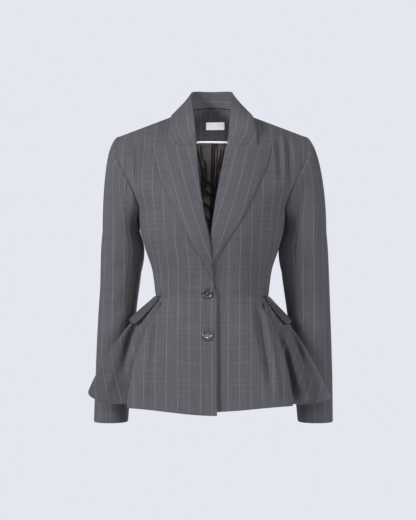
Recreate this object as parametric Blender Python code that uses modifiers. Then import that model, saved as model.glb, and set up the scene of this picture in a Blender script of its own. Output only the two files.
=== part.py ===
"""Peplum jacket, filled out as if worn.

A single-breasted tailored jacket with peak lapels, padded shoulders, a nipped waist, two-piece sleeves,
flap pockets in the waist seam and a side peplum that stands out as one large flute on each side.

The frame: metres, +Z up, the jacket faces -Y and the wearer's left arm is at +X. The origin lies between
the shoulder tips, where the wearer's shoulders carry the jacket. Sizes below are in millimetres.
Half shapes use the distance out from the centre line, so one rule serves both sides.
"""

import math
from typing import Callable, NamedTuple

import bmesh
import bpy
from mathutils import Matrix, Vector

# Driving dimensions, in millimetres
MM = 0.001
WALL = 1.5
SEAM_GAP = 0.4
LAY_ON = 1.9
LAPEL_LAY = 2.6
LAPEL_SWELL = 2.6
LAPEL_GROWTH = 90.0
LAPEL_ROLL_OUT = 0.3
LAPEL_LEAST_WIDTH = 1.0
FLAP_LAY = 3.4
INSIDE_LAY = 4.0
PIPING_LAY = 4.8
LABEL_LAY = 5.7
LABEL_WALL = 0.6
LINING_WALL = 1.0
WAIST_DROP = 0.9
ROW_EASE = 1.7
SHOULDER_Y = 5.0
NECK_POINT = (62.0, 72.0)
SHOULDER_TIP = (205.0, 18.0)
NECK_BACK_RISE = 12.0
NECK_BACK_ROUND = 40.0
FRONT_CHEST_HEIGHT = 160.0
BACK_CHEST_HEIGHT = 110.0
ARMPIT_Z = -140.0
WAIST_Z = -335.0
ARMHOLE_DIP = 5.0
RING_POWER = 2.0 / 2.3
SECTION_POWER = 2.3
RIGHT_EDGE = -10.0
LEFT_EDGE = -32.0
LEFT_INSET = 5.5
LEFT_INSET_OUT = 70.0
LEFT_INSET_OUT_EASE = 55.0
LEFT_INSET_TOP_Z = -110.0
LEFT_INSET_TOP_EASE = 60.0
FRONT_HEM_BOW = 2.4
NECK_CENTRE_Y = 8.0
COLLAR_SWELL = 1.5
COLLAR_CLEARANCE = 4.0
FACING_MARGIN = 10.0
FACING_TOP_DROP = 5.0
FACING_BOTTOM_Z = 17.0
PIPING_WIDTH = 4.5
PIPING_MARGIN = 6.0
LINING_MARGIN = 8.0
LINING_BOTTOM_RISE = 6.0
LINING_TOP_DROP = 1.4
LABEL_WIDTH = 44.0
LABEL_HEIGHT = 16.5
LABEL_CENTRE = (8.0, 51.0)
BUTTON_RADIUS = 11.5
BUTTON_THICKNESS = 3.6
BUTTON_HOLE_RADIUS = 1.1
BUTTON_HOLE_OUT = 2.4
BUTTON_OUT = -10.5
BUTTON_HEIGHTS = {"button_top": -327.0, "button_lower": -417.0}
BUTTON_SEATS = {"button_top": 1.1, "button_lower": 0.35}

# Shares and shapes of single forms
GAP_EASE = 1.4
CHEST_POWER = 0.8
ARMHOLE_SWEEP = 0.25
LEVEL_PART = 0.3
TURN_START = 0.85
TURN_AIM = 0.55
FRONT_SHARE = 0.4
BELOW_SHARE = 0.2
SLEEVE_TRIM = 0.018
CAP_REACH = 26.0
CAP_DROP = 105.0
CAP_LOW_DROP = 16.0
CAP_LOW_REACH = 1.0
CAP_DIP = 2.0
CAP_LOW_DIP = 6.0
CAP_SWELL = 14.0
CAP_EASE = 1.2
FOREARM_SEAM = 7
HINDARM_SEAM = -6
FLUTE_HEM_POWER = 5.0
SIDE_FRONT_ANGLE = 72.0
FLAP_FRONT = (2.1, 2.58)
FLAP_BACK = 3.7
FLAP_RIDGE = 0.45
FLAP_TOP = 0.008
FLAP_DEEP = 0.275
FLAP_CORNER = 0.16
FLAP_END = 0.88
FLAP_LAY_PART = 0.3
COLLAR_CLEAR_BY = 1.2

# How finely each form is divided
FRONT_COLUMNS = 10
DART_COLUMNS = 2
SIDE_COLUMNS = 6
WAIST_TO_ARMPIT_ROWS = 6
ARMPIT_TO_SHOULDER_ROWS = 9
PEPLUM_ROWS = 8
CAP_ROWS = 6
SLEEVE_ROWS = 7
LAPEL_COLUMNS = 5
LAPEL_ROWS = 13
INSIDE_COLUMNS = 14
FACING_ROWS = 4
LABEL_COLUMNS = 4
LABEL_ROWS = 2
LINING_COLUMNS = 16
LINING_ROWS = 12
BUTTON_STEPS = 24
BUTTON_HOLE_SIDES = 10
COLLAR_COLUMNS = 26
COLLAR_ROWS_ACROSS = 4
ARMHOLE_POINTS = 2 * ARMPIT_TO_SHOULDER_ROWS + SIDE_COLUMNS
FLAP_KNOTS = (0.0, 0.08, 0.18, 0.3, 0.38, 0.42, 0.45, 0.48, 0.52, 0.62, 0.76, 0.9, 1.0)
FLAP_ROWS = 5
FLAP_STEP = 0.01


class BodyRow(NamedTuple):
    """Size of the body at one height: half width, front depth and back depth."""

    z: float
    half_width: float
    front: float
    back: float


BODY_ROWS = (
    BodyRow(z=-335.0, half_width=124.0, front=88.0, back=80.0),
    BodyRow(z=-280.0, half_width=131.0, front=98.0, back=88.0),
    BodyRow(z=-233.0, half_width=146.0, front=112.0, back=96.0),
    BodyRow(z=-190.0, half_width=158.0, front=121.0, back=101.0),
    BodyRow(z=-140.0, half_width=166.0, front=119.0, back=104.0),
    BodyRow(z=-109.0, half_width=190.0, front=111.0, back=104.0),
    BodyRow(z=-69.0, half_width=222.0, front=98.0, back=102.0),
    BodyRow(z=-27.0, half_width=252.0, front=86.0, back=99.0),
    BodyRow(z=0.0, half_width=268.0, front=80.0, back=97.0),
    BodyRow(z=72.0, half_width=290.0, front=70.0, back=90.0),
    BodyRow(z=120.0, half_width=300.0, front=66.0, back=80.0),
)


class EdgeRow(NamedTuple):
    """A point of an edge that runs up a panel: its height and its distance out."""

    z: float
    out: float


ARMHOLE_EDGE = (
    EdgeRow(z=-140.0, out=159.0),
    EdgeRow(z=-109.0, out=170.0),
    EdgeRow(z=-69.0, out=190.0),
    EdgeRow(z=-27.0, out=209.0),
    EdgeRow(z=0.0, out=212.0),
    EdgeRow(z=18.0, out=205.0),
)
RIGHT_ROLL = (
    EdgeRow(z=-335.0, out=RIGHT_EDGE),
    EdgeRow(z=-298.0, out=-2.0),
    EdgeRow(z=-213.0, out=6.8),
    EdgeRow(z=-165.0, out=17.0),
    EdgeRow(z=-115.0, out=25.0),
    EdgeRow(z=-65.0, out=31.0),
    EdgeRow(z=0.0, out=36.0),
    EdgeRow(z=40.0, out=45.0),
    EdgeRow(z=72.0, out=62.0),
)
LEFT_ROLL = (
    EdgeRow(z=-335.0, out=LEFT_EDGE),
    EdgeRow(z=-298.0, out=-25.0),
    EdgeRow(z=-214.0, out=-3.7),
    EdgeRow(z=-165.0, out=3.0),
    EdgeRow(z=-115.0, out=11.0),
    EdgeRow(z=-74.0, out=18.6),
    EdgeRow(z=0.0, out=33.5),
    EdgeRow(z=40.0, out=45.0),
    EdgeRow(z=72.0, out=62.0),
)
RIGHT_LAPEL_EDGE = (
    EdgeRow(z=-297.0, out=0.5),
    EdgeRow(z=-272.0, out=11.0),
    EdgeRow(z=-238.0, out=30.7),
    EdgeRow(z=-204.0, out=50.4),
    EdgeRow(z=-165.0, out=70.0),
    EdgeRow(z=-116.0, out=94.7),
    EdgeRow(z=-66.0, out=114.8),
    EdgeRow(z=-7.0, out=129.5),
)
LEFT_LAPEL_EDGE = (
    EdgeRow(z=-288.0, out=-18.0),
    EdgeRow(z=-263.0, out=2.7),
    EdgeRow(z=-236.0, out=18.3),
    EdgeRow(z=-204.0, out=38.2),
    EdgeRow(z=-175.0, out=57.5),
    EdgeRow(z=-137.0, out=77.4),
    EdgeRow(z=-95.0, out=97.4),
    EdgeRow(z=-50.0, out=117.2),
    EdgeRow(z=-8.0, out=129.0),
)


class Fold(NamedTuple):
    """One station of the peplum: where it leaves the waist, its place at the hem and how it gets there.

    angle is the place on the waist ring in degrees, front 0 and back 180. bow over 0 spreads it early.
    soft_in and soft_out are the parts of the spans before and after it that its rounding takes up.
    """

    name: str
    angle: float
    hem_out: float
    hem_y: float
    hem_z: float
    bow: float
    soft_in: float
    soft_out: float


RIGHT_FOLDS = (
    Fold("centre", 0.0, 0.0, -135.0, -586.0, 0.3, 0.0, 0.0),
    Fold("front_fold", 61.7, 190.0, -105.0, -572.0, 0.83, 0.9, 0.25),
    Fold("front_valley", 68.0, 150.0, -42.0, -570.0, 0.4, 0.3, 0.14),
    Fold("flute", 90.0, 276.0, -50.0, -543.0, 0.45, 0.09, 0.09),
    Fold("back_valley", 112.0, 152.0, 2.0, -562.0, 0.2, 0.14, 0.35),
    Fold("back_fold", 126.0, 166.0, 66.0, -578.0, 0.4, 0.35, 0.35),
    Fold("soft_valley", 146.0, 108.0, 88.0, -586.0, 0.3, 0.4, 0.4),
    Fold("soft_fold", 161.0, 58.0, 124.0, -590.0, 0.3, 0.4, 0.4),
    Fold("centre_back", 180.0, 0.0, 119.0, -590.0, 0.3, 0.0, 0.0),
)
LEFT_FOLDS = (
    Fold("centre", 0.0, 0.0, -131.0, -580.0, 0.3, 0.0, 0.0),
    Fold("front_fold", 61.7, 180.0, -103.0, -568.0, 0.75, 0.9, 0.25),
    Fold("front_valley", 68.0, 146.0, -40.0, -570.0, 0.4, 0.3, 0.14),
    Fold("flute", 90.0, 265.0, -50.0, -553.0, 0.3, 0.09, 0.09),
    Fold("back_valley", 112.0, 150.0, 2.0, -566.0, 0.2, 0.14, 0.35),
    Fold("back_fold", 126.0, 162.0, 68.0, -578.0, 0.4, 0.35, 0.35),
    Fold("soft_valley", 146.0, 112.0, 90.0, -586.0, 0.3, 0.4, 0.4),
    Fold("soft_fold", 161.0, 60.0, 122.0, -590.0, 0.3, 0.4, 0.4),
    Fold("centre_back", 180.0, 0.0, 119.0, -590.0, 0.3, 0.0, 0.0),
)
FRONT_FOLD, FRONT_VALLEY, FLUTE, BACK_VALLEY, CENTRE_BACK = 1, 2, 3, 4, 8
PEPLUM_FIRST, PEPLUM_LAST = 2.2, 3.8
LEG_STATIONS = (1.12, 1.25, 1.7, 1.86, 2.0, 2.08, PEPLUM_FIRST)
FLUTE_STATIONS = (PEPLUM_FIRST, 2.38, 2.56, 2.74, 2.88, 2.94, 3.0, 3.06, 3.12, 3.26, 3.44, 3.62, PEPLUM_LAST)
BACK_LEG_STATIONS = (PEPLUM_LAST, 3.87, 3.94)
BACK_STATIONS = (4.0, 4.2, 4.36, 4.65, 5.0, 5.35, 5.62, 6.0, 6.4, 6.7, 7.0, 7.4, 7.7, 8.0)


class SleeveRow(NamedTuple):
    """One section of the sleeve: inner and outer edge, centre in Y and depth."""

    z: float
    inner: float
    outer: float
    y: float
    depth: float


RIGHT_SLEEVE = (
    SleeveRow(z=-616.0, inner=189.0, outer=264.0, y=40.0, depth=90.0),
    SleeveRow(z=-530.0, inner=182.0, outer=261.0, y=44.0, depth=95.0),
    SleeveRow(z=-448.0, inner=176.0, outer=258.0, y=46.0, depth=100.0),
    SleeveRow(z=-366.0, inner=170.0, outer=253.5, y=44.0, depth=106.0),
    SleeveRow(z=-313.0, inner=163.0, outer=249.5, y=36.0, depth=112.0),
    SleeveRow(z=-233.0, inner=151.5, outer=246.5, y=22.0, depth=119.0),
    SleeveRow(z=-190.0, inner=161.5, outer=242.5, y=16.0, depth=121.0),
)
LEFT_SLEEVE = (
    SleeveRow(z=-616.0, inner=193.0, outer=270.0, y=40.0, depth=90.0),
    SleeveRow(z=-530.0, inner=185.0, outer=269.5, y=44.0, depth=95.0),
    SleeveRow(z=-448.0, inner=177.5, outer=267.5, y=46.0, depth=100.0),
    SleeveRow(z=-366.0, inner=168.5, outer=264.5, y=44.0, depth=106.0),
    SleeveRow(z=-313.0, inner=160.5, outer=262.0, y=36.0, depth=112.0),
    SleeveRow(z=-233.0, inner=149.0, outer=257.5, y=22.0, depth=119.0),
    SleeveRow(z=-190.0, inner=160.5, outer=253.5, y=16.0, depth=121.0),
)


class CollarRow(NamedTuple):
    """One station of the half collar, from the gorge (0) to the centre back (1)."""

    at: float
    fold: tuple
    edge: tuple
    seam: tuple


COLLAR_ROWS = (
    CollarRow(at=0.0, fold=(35.0, -62.0, 1.0), edge=(101.0, -55.0, 1.0), seam=(34.0, -58.0, 1.0)),
    CollarRow(at=0.2, fold=(38.5, -38.0, 40.0), edge=(95.0, -38.0, 34.0), seam=(42.0, -32.0, 42.0)),
    CollarRow(at=0.38, fold=(43.0, -14.0, 76.0), edge=(91.0, -14.0, 60.0), seam=(53.0, -11.0, 64.0)),
    CollarRow(at=0.52, fold=(47.0, 10.0, 106.0), edge=(88.0, 10.0, 67.0), seam=(58.0, 5.0, 75.0)),
    CollarRow(at=0.68, fold=(44.0, 36.0, 120.0), edge=(74.0, 52.0, 62.0), seam=(47.0, 29.0, 80.0)),
    CollarRow(at=0.84, fold=(25.0, 56.0, 123.0), edge=(42.0, 78.0, 63.0), seam=(25.0, 46.0, 85.0)),
    CollarRow(at=1.0, fold=(0.0, 63.0, 123.0), edge=(0.0, 85.0, 64.0), seam=(0.0, 50.5, 86.5)),
)


class ProfileRow(NamedTuple):
    """A point of the button's section, from the middle of its face round to the middle of its back."""

    radius: float
    height: float


BUTTON_PROFILE = (
    ProfileRow(radius=0.0, height=1.5),
    ProfileRow(radius=6.8, height=1.5),
    ProfileRow(radius=7.8, height=2.0),
    ProfileRow(radius=9.0, height=BUTTON_THICKNESS),
    ProfileRow(radius=10.4, height=BUTTON_THICKNESS),
    ProfileRow(radius=BUTTON_RADIUS, height=2.4),
    ProfileRow(radius=BUTTON_RADIUS, height=1.4),
    ProfileRow(radius=9.6, height=0.0),
    ProfileRow(radius=0.0, height=0.0),
)


class Looks(NamedTuple):
    """Colour (linear), roughness and metallic value of one material."""

    colour: tuple
    roughness: float
    metallic: float


WOOL = Looks((0.104, 0.098, 0.110), 0.9, 0.0)
DARK_LINING = Looks((0.035, 0.032, 0.035), 0.45, 0.0)
WHITE_SATIN = Looks((0.78, 0.80, 0.83), 0.5, 0.0)
HORN = Looks((0.03, 0.03, 0.035), 0.35, 0.0)


def smooth(value: float) -> float:
    """Ease from 0 to 1, level at both ends."""
    value = min(1.0, max(0.0, value))
    return value * value * (3.0 - 2.0 * value)


def mix(first: float, second: float, part: float) -> float:
    """The number that lies part of the way from first to second."""
    return first + (second - first) * part


def curve_through(knots: list, values: list, at: float) -> float:
    """Smooth curve through knots that never overshoots them, read at one place."""
    if at <= knots[0]:
        return values[0]
    if at >= knots[-1]:
        return values[-1]
    slopes = [(values[i + 1] - values[i]) / (knots[i + 1] - knots[i]) for i in range(len(knots) - 1)]
    tangents = [slopes[0]]
    for before, after in zip(slopes, slopes[1:]):
        tangents.append(0.0 if before * after <= 0.0 else 2.0 * before * after / (before + after))
    tangents.append(slopes[-1])
    index = next(i for i in range(len(knots) - 1) if at <= knots[i + 1])
    width = knots[index + 1] - knots[index]
    part = (at - knots[index]) / width
    square, cube = part * part, part * part * part
    start = (2 * cube - 3 * square + 1) * values[index] + (cube - 2 * square + part) * width * tangents[index]
    end = (3 * square - 2 * cube) * values[index + 1] + (cube - square) * width * tangents[index + 1]
    return start + end


def read(rows: tuple, key: str, at: float, name: str) -> float:
    """One column of a table, read smoothly between its rows."""
    knots = [getattr(row, key) for row in rows]
    return curve_through(knots, [getattr(row, name) for row in rows], at)


def signed_power(value: float, power: float) -> float:
    """A power that keeps the sign."""
    return math.copysign(abs(value) ** power, value)


def ring_point(angle: float, z: float) -> Vector:
    """Point of the body below the armhole: angle in degrees, front 0, side 90, back 180."""
    turn = math.radians(angle)
    out = read(BODY_ROWS, "z", z, "half_width") * signed_power(math.sin(turn), RING_POWER)
    depth = read(BODY_ROWS, "z", z, "front" if angle < 90.0 else "back")
    return Vector((out, -depth * signed_power(math.cos(turn), RING_POWER), z))


def shoulder_z(out: float) -> float:
    """Height of the shoulder line, carried on straight into the neck."""
    slope = (SHOULDER_TIP[1] - NECK_POINT[1]) / (SHOULDER_TIP[0] - NECK_POINT[0])
    return NECK_POINT[1] + slope * (out - NECK_POINT[0])


def chest_ease(below: float, height: float) -> float:
    """How far the chest has come out, below the shoulder line."""
    part = min(1.0, max(0.0, below / height))
    return (1.0 - (1.0 - part) ** 2) ** CHEST_POWER


def front_point(out: float, z: float) -> Vector:
    """Point of the front above the armpit."""
    half_width = read(BODY_ROWS, "z", z, "half_width")
    edge = min(1.0, abs(out) / half_width)
    depth = read(BODY_ROWS, "z", z, "front") * (1.0 - edge ** SECTION_POWER) ** (1.0 / SECTION_POWER)
    ease = chest_ease(shoulder_z(abs(out)) - z, FRONT_CHEST_HEIGHT)
    return Vector((out, SHOULDER_Y - (SHOULDER_Y + depth) * ease, z))


def back_top_z(out: float) -> float:
    """Height where the back would reach the shoulder line, raised inside the neck."""
    if abs(out) >= NECK_POINT[0]:
        return shoulder_z(abs(out))
    return NECK_POINT[1] + NECK_BACK_ROUND * (1.0 - (out / NECK_POINT[0]) ** 2)


def back_point(out: float, z: float) -> Vector:
    """Point of the back above the armpit."""
    half_width = read(BODY_ROWS, "z", z, "half_width")
    edge = min(1.0, abs(out) / half_width)
    depth = read(BODY_ROWS, "z", z, "back") * (1.0 - edge ** SECTION_POWER) ** (1.0 / SECTION_POWER)
    ease = chest_ease(back_top_z(out) - z, BACK_CHEST_HEIGHT)
    return Vector((out, SHOULDER_Y + (depth - SHOULDER_Y) * ease, z))


def neck_back_z(out: float) -> float:
    """Height of the back neck seam."""
    return NECK_POINT[1] + NECK_BACK_RISE * (1.0 - (out / NECK_POINT[0]) ** 2)


def armhole_out(z: float) -> float:
    """Distance out of the armhole edge at one height."""
    return read(ARMHOLE_EDGE, "z", z, "out")


def normal_of(surface: Callable, first: float, second: float, step: float = 0.5) -> Vector:
    """Outward normal of a surface of two values, by small steps."""
    along = surface(first + step, second) - surface(first - step, second)
    across = surface(first, second + step) - surface(first, second - step)
    normal = along.cross(across).normalized()
    point = surface(first, second)
    outward = Vector((point.x, point.y, 30.0))
    return normal if normal.dot(outward) >= 0.0 else -normal


def fold_part(fold: Fold, down: float) -> float:
    """How far a station has gone to its hem place, down being 0 at the waist and 1 at the hem."""
    return down + fold.bow * down * (1.0 - down)


def fold_point(fold: Fold, down: float) -> Vector:
    """Place of a station of the peplum."""
    start = ring_point(fold.angle, WAIST_Z)
    part = fold_part(fold, down)
    return Vector((mix(start.x, fold.hem_out, part), mix(start.y, fold.hem_y, part),
                   mix(WAIST_Z, fold.hem_z, down)))


def front_hem_y(folds: tuple, out: float, down: float) -> float:
    """Depth of the front below the waist, from the centre out to its fold."""
    centre = fold_point(folds[0], down)
    fold = fold_point(folds[FRONT_FOLD], down)
    return centre.y + (fold.y - centre.y) * (abs(out) / fold.x) ** FRONT_HEM_BOW


def front_low_point(folds: tuple, part: float, edge: float, down: float) -> Vector:
    """Point of the front below the waist, part 0 at its edge and 1 at its fold."""
    waist_fold = ring_point(folds[FRONT_FOLD].angle, WAIST_Z)
    fold = fold_point(folds[FRONT_FOLD], down)
    waist_out = mix(edge, waist_fold.x, part)
    out = mix(edge, fold.x, part)
    angle = math.degrees(math.asin(signed_power(waist_out / ring_point(90.0, WAIST_Z).x, 1.0 / RING_POWER)))
    waist_y = ring_point(angle, WAIST_Z).y
    hem_y = front_hem_y(folds, out, down)
    y = mix(waist_y + hem_y - front_hem_y(folds, waist_out, 0.0), hem_y, smooth(down / LEVEL_PART))
    hem = mix(folds[0].hem_z, folds[FRONT_FOLD].hem_z, smooth(max(0.0, part)))
    return Vector((out, y, mix(WAIST_Z, hem, down)))


def peplum_point(folds: tuple, station: float, down: float, edge: float) -> Vector:
    """Point of the peplum; station 1 is the front fold, 8 the centre back, with a rounded turn at each."""
    near = int(round(station))
    near = min(max(near, FRONT_FOLD), CENTRE_BACK)
    offset = station - near

    def corner(index: int) -> Vector:
        if index < FRONT_FOLD:
            return front_low_point(folds, TURN_START, edge, down)
        return fold_point(folds[index], down)

    soft = folds[near].soft_in if offset < 0.0 else folds[near].soft_out
    other = corner(near - 1) if offset < 0.0 else corner(min(near + 1, CENTRE_BACK))
    here = corner(near)
    if soft == 0.0 or abs(offset) >= soft:
        point = here.lerp(other, abs(offset))
    else:
        before = here.lerp(corner(near - 1), folds[near].soft_in)
        after = here.lerp(corner(min(near + 1, CENTRE_BACK)), folds[near].soft_out)
        turn = 0.5 + 0.5 * offset / soft
        point = before.lerp(here, turn).lerp(here.lerp(after, turn), turn)
    angle = peplum_angle(folds, station)
    ring = ring_point(angle, WAIST_Z)
    flat = peplum_flat(folds, station)
    point.x += (ring.x - flat.x) * (1.0 - smooth(down / LEVEL_PART))
    point.y += (ring.y - flat.y) * (1.0 - smooth(down / LEVEL_PART))
    lower = int(min(max(math.floor(station), FRONT_FOLD), CENTRE_BACK - 1))
    part = station - lower
    if lower == FRONT_VALLEY:
        part = part ** FLUTE_HEM_POWER
    if lower == FLUTE:
        part = 1.0 - (1.0 - part) ** FLUTE_HEM_POWER
    hem = mix(folds[lower].hem_z, folds[lower + 1].hem_z, part)
    point.z = mix(WAIST_Z, hem, down)
    return point


def peplum_angle(folds: tuple, station: float) -> float:
    """Place on the waist ring of a station of the peplum."""
    lower = int(min(max(math.floor(station), FRONT_FOLD), CENTRE_BACK - 1))
    return mix(folds[lower].angle, folds[lower + 1].angle, station - lower)


def peplum_flat(folds: tuple, station: float) -> Vector:
    """The waist point of a station on the straight line between its two neighbours."""
    lower = int(min(max(math.floor(station), FRONT_FOLD), CENTRE_BACK - 1))
    first = ring_point(folds[lower].angle, WAIST_Z)
    second = ring_point(folds[lower + 1].angle, WAIST_Z)
    return first.lerp(second, station - lower)


def seam_trim(folds: tuple, station: int, down: float) -> float:
    """Half the seam gap as a part of the span that starts at a station."""
    width = (fold_point(folds[station + 1], down) - fold_point(folds[station], down)).length
    return 0.5 * SEAM_GAP / max(8.0, width)


def left_inset(out: float, z: float) -> float:
    """How far the left front lies in under the right one."""
    across = smooth((LEFT_INSET_OUT - out) / LEFT_INSET_OUT_EASE)
    return LEFT_INSET * across * smooth((LEFT_INSET_TOP_Z - z) / LEFT_INSET_TOP_EASE)


class Side(NamedTuple):
    """What differs between the two sides: the sign of X, the front edge, the roll line and the folds."""

    name: str
    sign: int
    edge: float
    roll: tuple
    lapel: tuple
    folds: tuple
    inset: float
    sleeve: tuple


RIGHT = Side("right", -1, RIGHT_EDGE, RIGHT_ROLL, RIGHT_LAPEL_EDGE, RIGHT_FOLDS, 0.0, RIGHT_SLEEVE)
LEFT = Side("left", 1, LEFT_EDGE, LEFT_ROLL, LEFT_LAPEL_EDGE, LEFT_FOLDS, 1.0, LEFT_SLEEVE)


def add_grid(mesh: bmesh.types.BMesh, columns: int, rows: int, place: Callable, side: int) -> list:
    """Add a grid whose point in column i and row j is place(i, j), mirrored for side -1; give its points."""
    made = bmesh.ops.create_grid(mesh, x_segments=columns, y_segments=rows, size=0.5)["verts"]
    for vert in made:
        column = round((vert.co.x + 0.5) * columns)
        row = round((vert.co.y + 0.5) * rows)
        point = place(column, row)
        vert.co = Vector((side * point.x, point.y, point.z)) * MM
    return made


def finish(name: str, mesh: bmesh.types.BMesh, looks: Looks, group: bpy.types.Collection,
           thickness: float = WALL) -> bpy.types.Object:
    """Make a cloth piece of a surface: one object with its own material and an even wall."""
    bmesh.ops.remove_doubles(mesh, verts=mesh.verts, dist=0.00002)
    bmesh.ops.recalc_face_normals(mesh, faces=mesh.faces)
    data = bpy.data.meshes.new(name)
    mesh.to_mesh(data)
    mesh.free()
    data.shade_smooth()
    piece = bpy.data.objects.new(name, data)
    group.objects.link(piece)
    wall = piece.modifiers.new("wall", "SOLIDIFY")
    wall.thickness = thickness * MM
    wall.offset = 0.0
    wall.use_even_offset = True
    wall.thickness_clamp = 1.0
    data.materials.append(make_material(name, looks))
    return piece


def make_material(name: str, looks: Looks) -> bpy.types.Material:
    """A plain material with the piece's colour, roughness and metallic value."""
    material = bpy.data.materials.new(name)
    material.use_nodes = True
    shader = material.node_tree.nodes["Principled BSDF"]
    shader.inputs["Base Color"].default_value = (*looks.colour, 1.0)
    shader.inputs["Roughness"].default_value = looks.roughness
    shader.inputs["Metallic"].default_value = looks.metallic
    return material


def edge_angle(out: float, z: float) -> float:
    """Angle on the body ring of a point that lies out from the centre front."""
    half_width = read(BODY_ROWS, "z", z, "half_width")
    return math.degrees(math.asin(signed_power(out / half_width, 1.0 / RING_POWER)))


def front_edge(side: Side, z: float) -> float:
    """Distance out of the front's free edge or roll line above the waist."""
    return read(side.roll, "z", z, "out")


def waist_columns(side: Side) -> list:
    """Angles of the front's columns at the waist, from its edge to the dart and on to the side seam."""
    start = edge_angle(side.edge, WAIST_Z)
    dart = side.folds[FRONT_FOLD].angle
    angles = [mix(start, dart, i / FRONT_COLUMNS) for i in range(FRONT_COLUMNS + 1)]
    seam = SIDE_FRONT_ANGLE - gap_angle()
    angles += [mix(dart, seam, i / DART_COLUMNS) for i in range(1, DART_COLUMNS + 1)]
    return angles


def gap_angle() -> float:
    """Half the seam gap as an angle of the body ring."""
    return math.degrees(0.5 * SEAM_GAP / BODY_ROWS[0].half_width) * GAP_EASE


def front_upper_place(side: Side, share: float, row: float) -> Vector:
    """Point of the front above the waist: share runs from the front edge (0) to the side seam (1)."""
    end = SIDE_FRONT_ANGLE - gap_angle()
    if row <= WAIST_TO_ARMPIT_ROWS:
        z = mix(WAIST_Z, ARMPIT_Z, row / WAIST_TO_ARMPIT_ROWS)
        point = ring_point(mix(edge_angle(front_edge(side, z), z), end, share), z)
    else:
        rise = rise_of(row)
        first_z = mix(ARMPIT_Z, NECK_POINT[1], rise)
        last_z = mix(ARMPIT_Z, SHOULDER_TIP[1], rise)
        base_first = front_edge(side, ARMPIT_Z)
        base = ring_point(mix(edge_angle(base_first, ARMPIT_Z), end, share), ARMPIT_Z).x
        base_last = ring_point(end, ARMPIT_Z).x
        across = (base - base_first) / (base_last - base_first)
        out = mix(front_edge(side, first_z), armhole_out(last_z), across)
        point = front_point(out, mix(first_z, last_z, across) - (0.5 * SEAM_GAP if rise >= 1.0 else 0.0))
    point.y += side.inset * left_inset(point.x, point.z)
    return point


def rise_of(row: float) -> float:
    """How far a row has gone from the armpit (0) to the shoulder (1); rows crowd toward the shoulder."""
    return 1.0 - (1.0 - (row - WAIST_TO_ARMPIT_ROWS) / ARMPIT_TO_SHOULDER_ROWS) ** ROW_EASE


def front_upper_point(side: Side, column: int, row: int) -> Vector:
    """Point of the front above the waist, by column and row."""
    angles = waist_columns(side)
    share = (angles[column] - angles[0]) / (angles[-1] - angles[0])
    point = front_upper_place(side, share, row)
    if row == 0 and column > FRONT_COLUMNS:
        point.z += 0.5 * SEAM_GAP
    return point


def front_lower_point(side: Side, column: int, row: int) -> Vector:
    """Point of the front below the waist: its columns, then the turned-back leg of its fold."""
    down = row / PEPLUM_ROWS
    if row == 0 and column <= FRONT_COLUMNS:
        return front_upper_point(side, column, 0)
    if column <= FRONT_COLUMNS:
        waist_out = ring_point(waist_columns(side)[column], WAIST_Z).x
        fold_out = ring_point(side.folds[FRONT_FOLD].angle, WAIST_Z).x
        part = (waist_out - side.edge) / (fold_out - side.edge)
        if part <= TURN_START:
            point = front_low_point(side.folds, part, side.edge, down)
        else:
            point = front_turn(side, (part - TURN_START) / (1.0 - TURN_START), down)
    else:
        station = LEG_STATIONS[column - FRONT_COLUMNS - 1]
        trim = seam_trim(side.folds, FRONT_VALLEY, down) if station == PEPLUM_FIRST else 0.0
        point = peplum_point(side.folds, station - trim, down, side.edge)
        if row == 0:
            point.z -= WAIST_DROP
    point.y += side.inset * left_inset(point.x, point.z)
    return point


def front_turn(side: Side, part: float, down: float) -> Vector:
    """Point of the front where it rounds into its fold."""
    start = front_low_point(side.folds, TURN_START, side.edge, down)
    end = peplum_point(side.folds, FRONT_FOLD, down, side.edge)
    middle = fold_point(side.folds[FRONT_FOLD], down)
    aim = start.lerp(middle, TURN_AIM)
    flat = start.lerp(aim, part).lerp(aim.lerp(end, part), part)
    plain = front_low_point(side.folds, mix(TURN_START, 1.0, part), side.edge, down)
    return plain.lerp(flat, smooth(down / LEVEL_PART))


def make_front(side: Side, group: bpy.types.Collection) -> bpy.types.Object:
    """A front: shoulder to hem, with the leg behind its fold."""
    mesh = bmesh.new()
    add_grid(mesh, FRONT_COLUMNS + DART_COLUMNS, WAIST_TO_ARMPIT_ROWS + ARMPIT_TO_SHOULDER_ROWS,
             lambda i, j: front_upper_point(side, i, j), side.sign)
    add_grid(mesh, FRONT_COLUMNS + len(LEG_STATIONS), PEPLUM_ROWS,
             lambda i, j: front_lower_point(side, i, j), side.sign)
    return finish(f"front_{side.name}", mesh, WOOL, group)


def make_side_body(side: Side, group: bpy.types.Collection) -> bpy.types.Object:
    """The panel under the arm, from the waist seam to the armhole."""
    mesh = bmesh.new()
    first = SIDE_FRONT_ANGLE + gap_angle()
    last = side.folds[BACK_VALLEY].angle - gap_angle()

    def place(i: int, j: int) -> Vector:
        across = i / SIDE_COLUMNS
        top = ARMPIT_Z - ARMHOLE_DIP * math.sin(math.pi * across)
        z = mix(WAIST_Z + 0.5 * SEAM_GAP, top, j / WAIST_TO_ARMPIT_ROWS)
        return ring_point(mix(first, last, across), z)

    add_grid(mesh, SIDE_COLUMNS, WAIST_TO_ARMPIT_ROWS, place, side.sign)
    return finish(f"side_body_{side.name}", mesh, WOOL, group)


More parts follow.
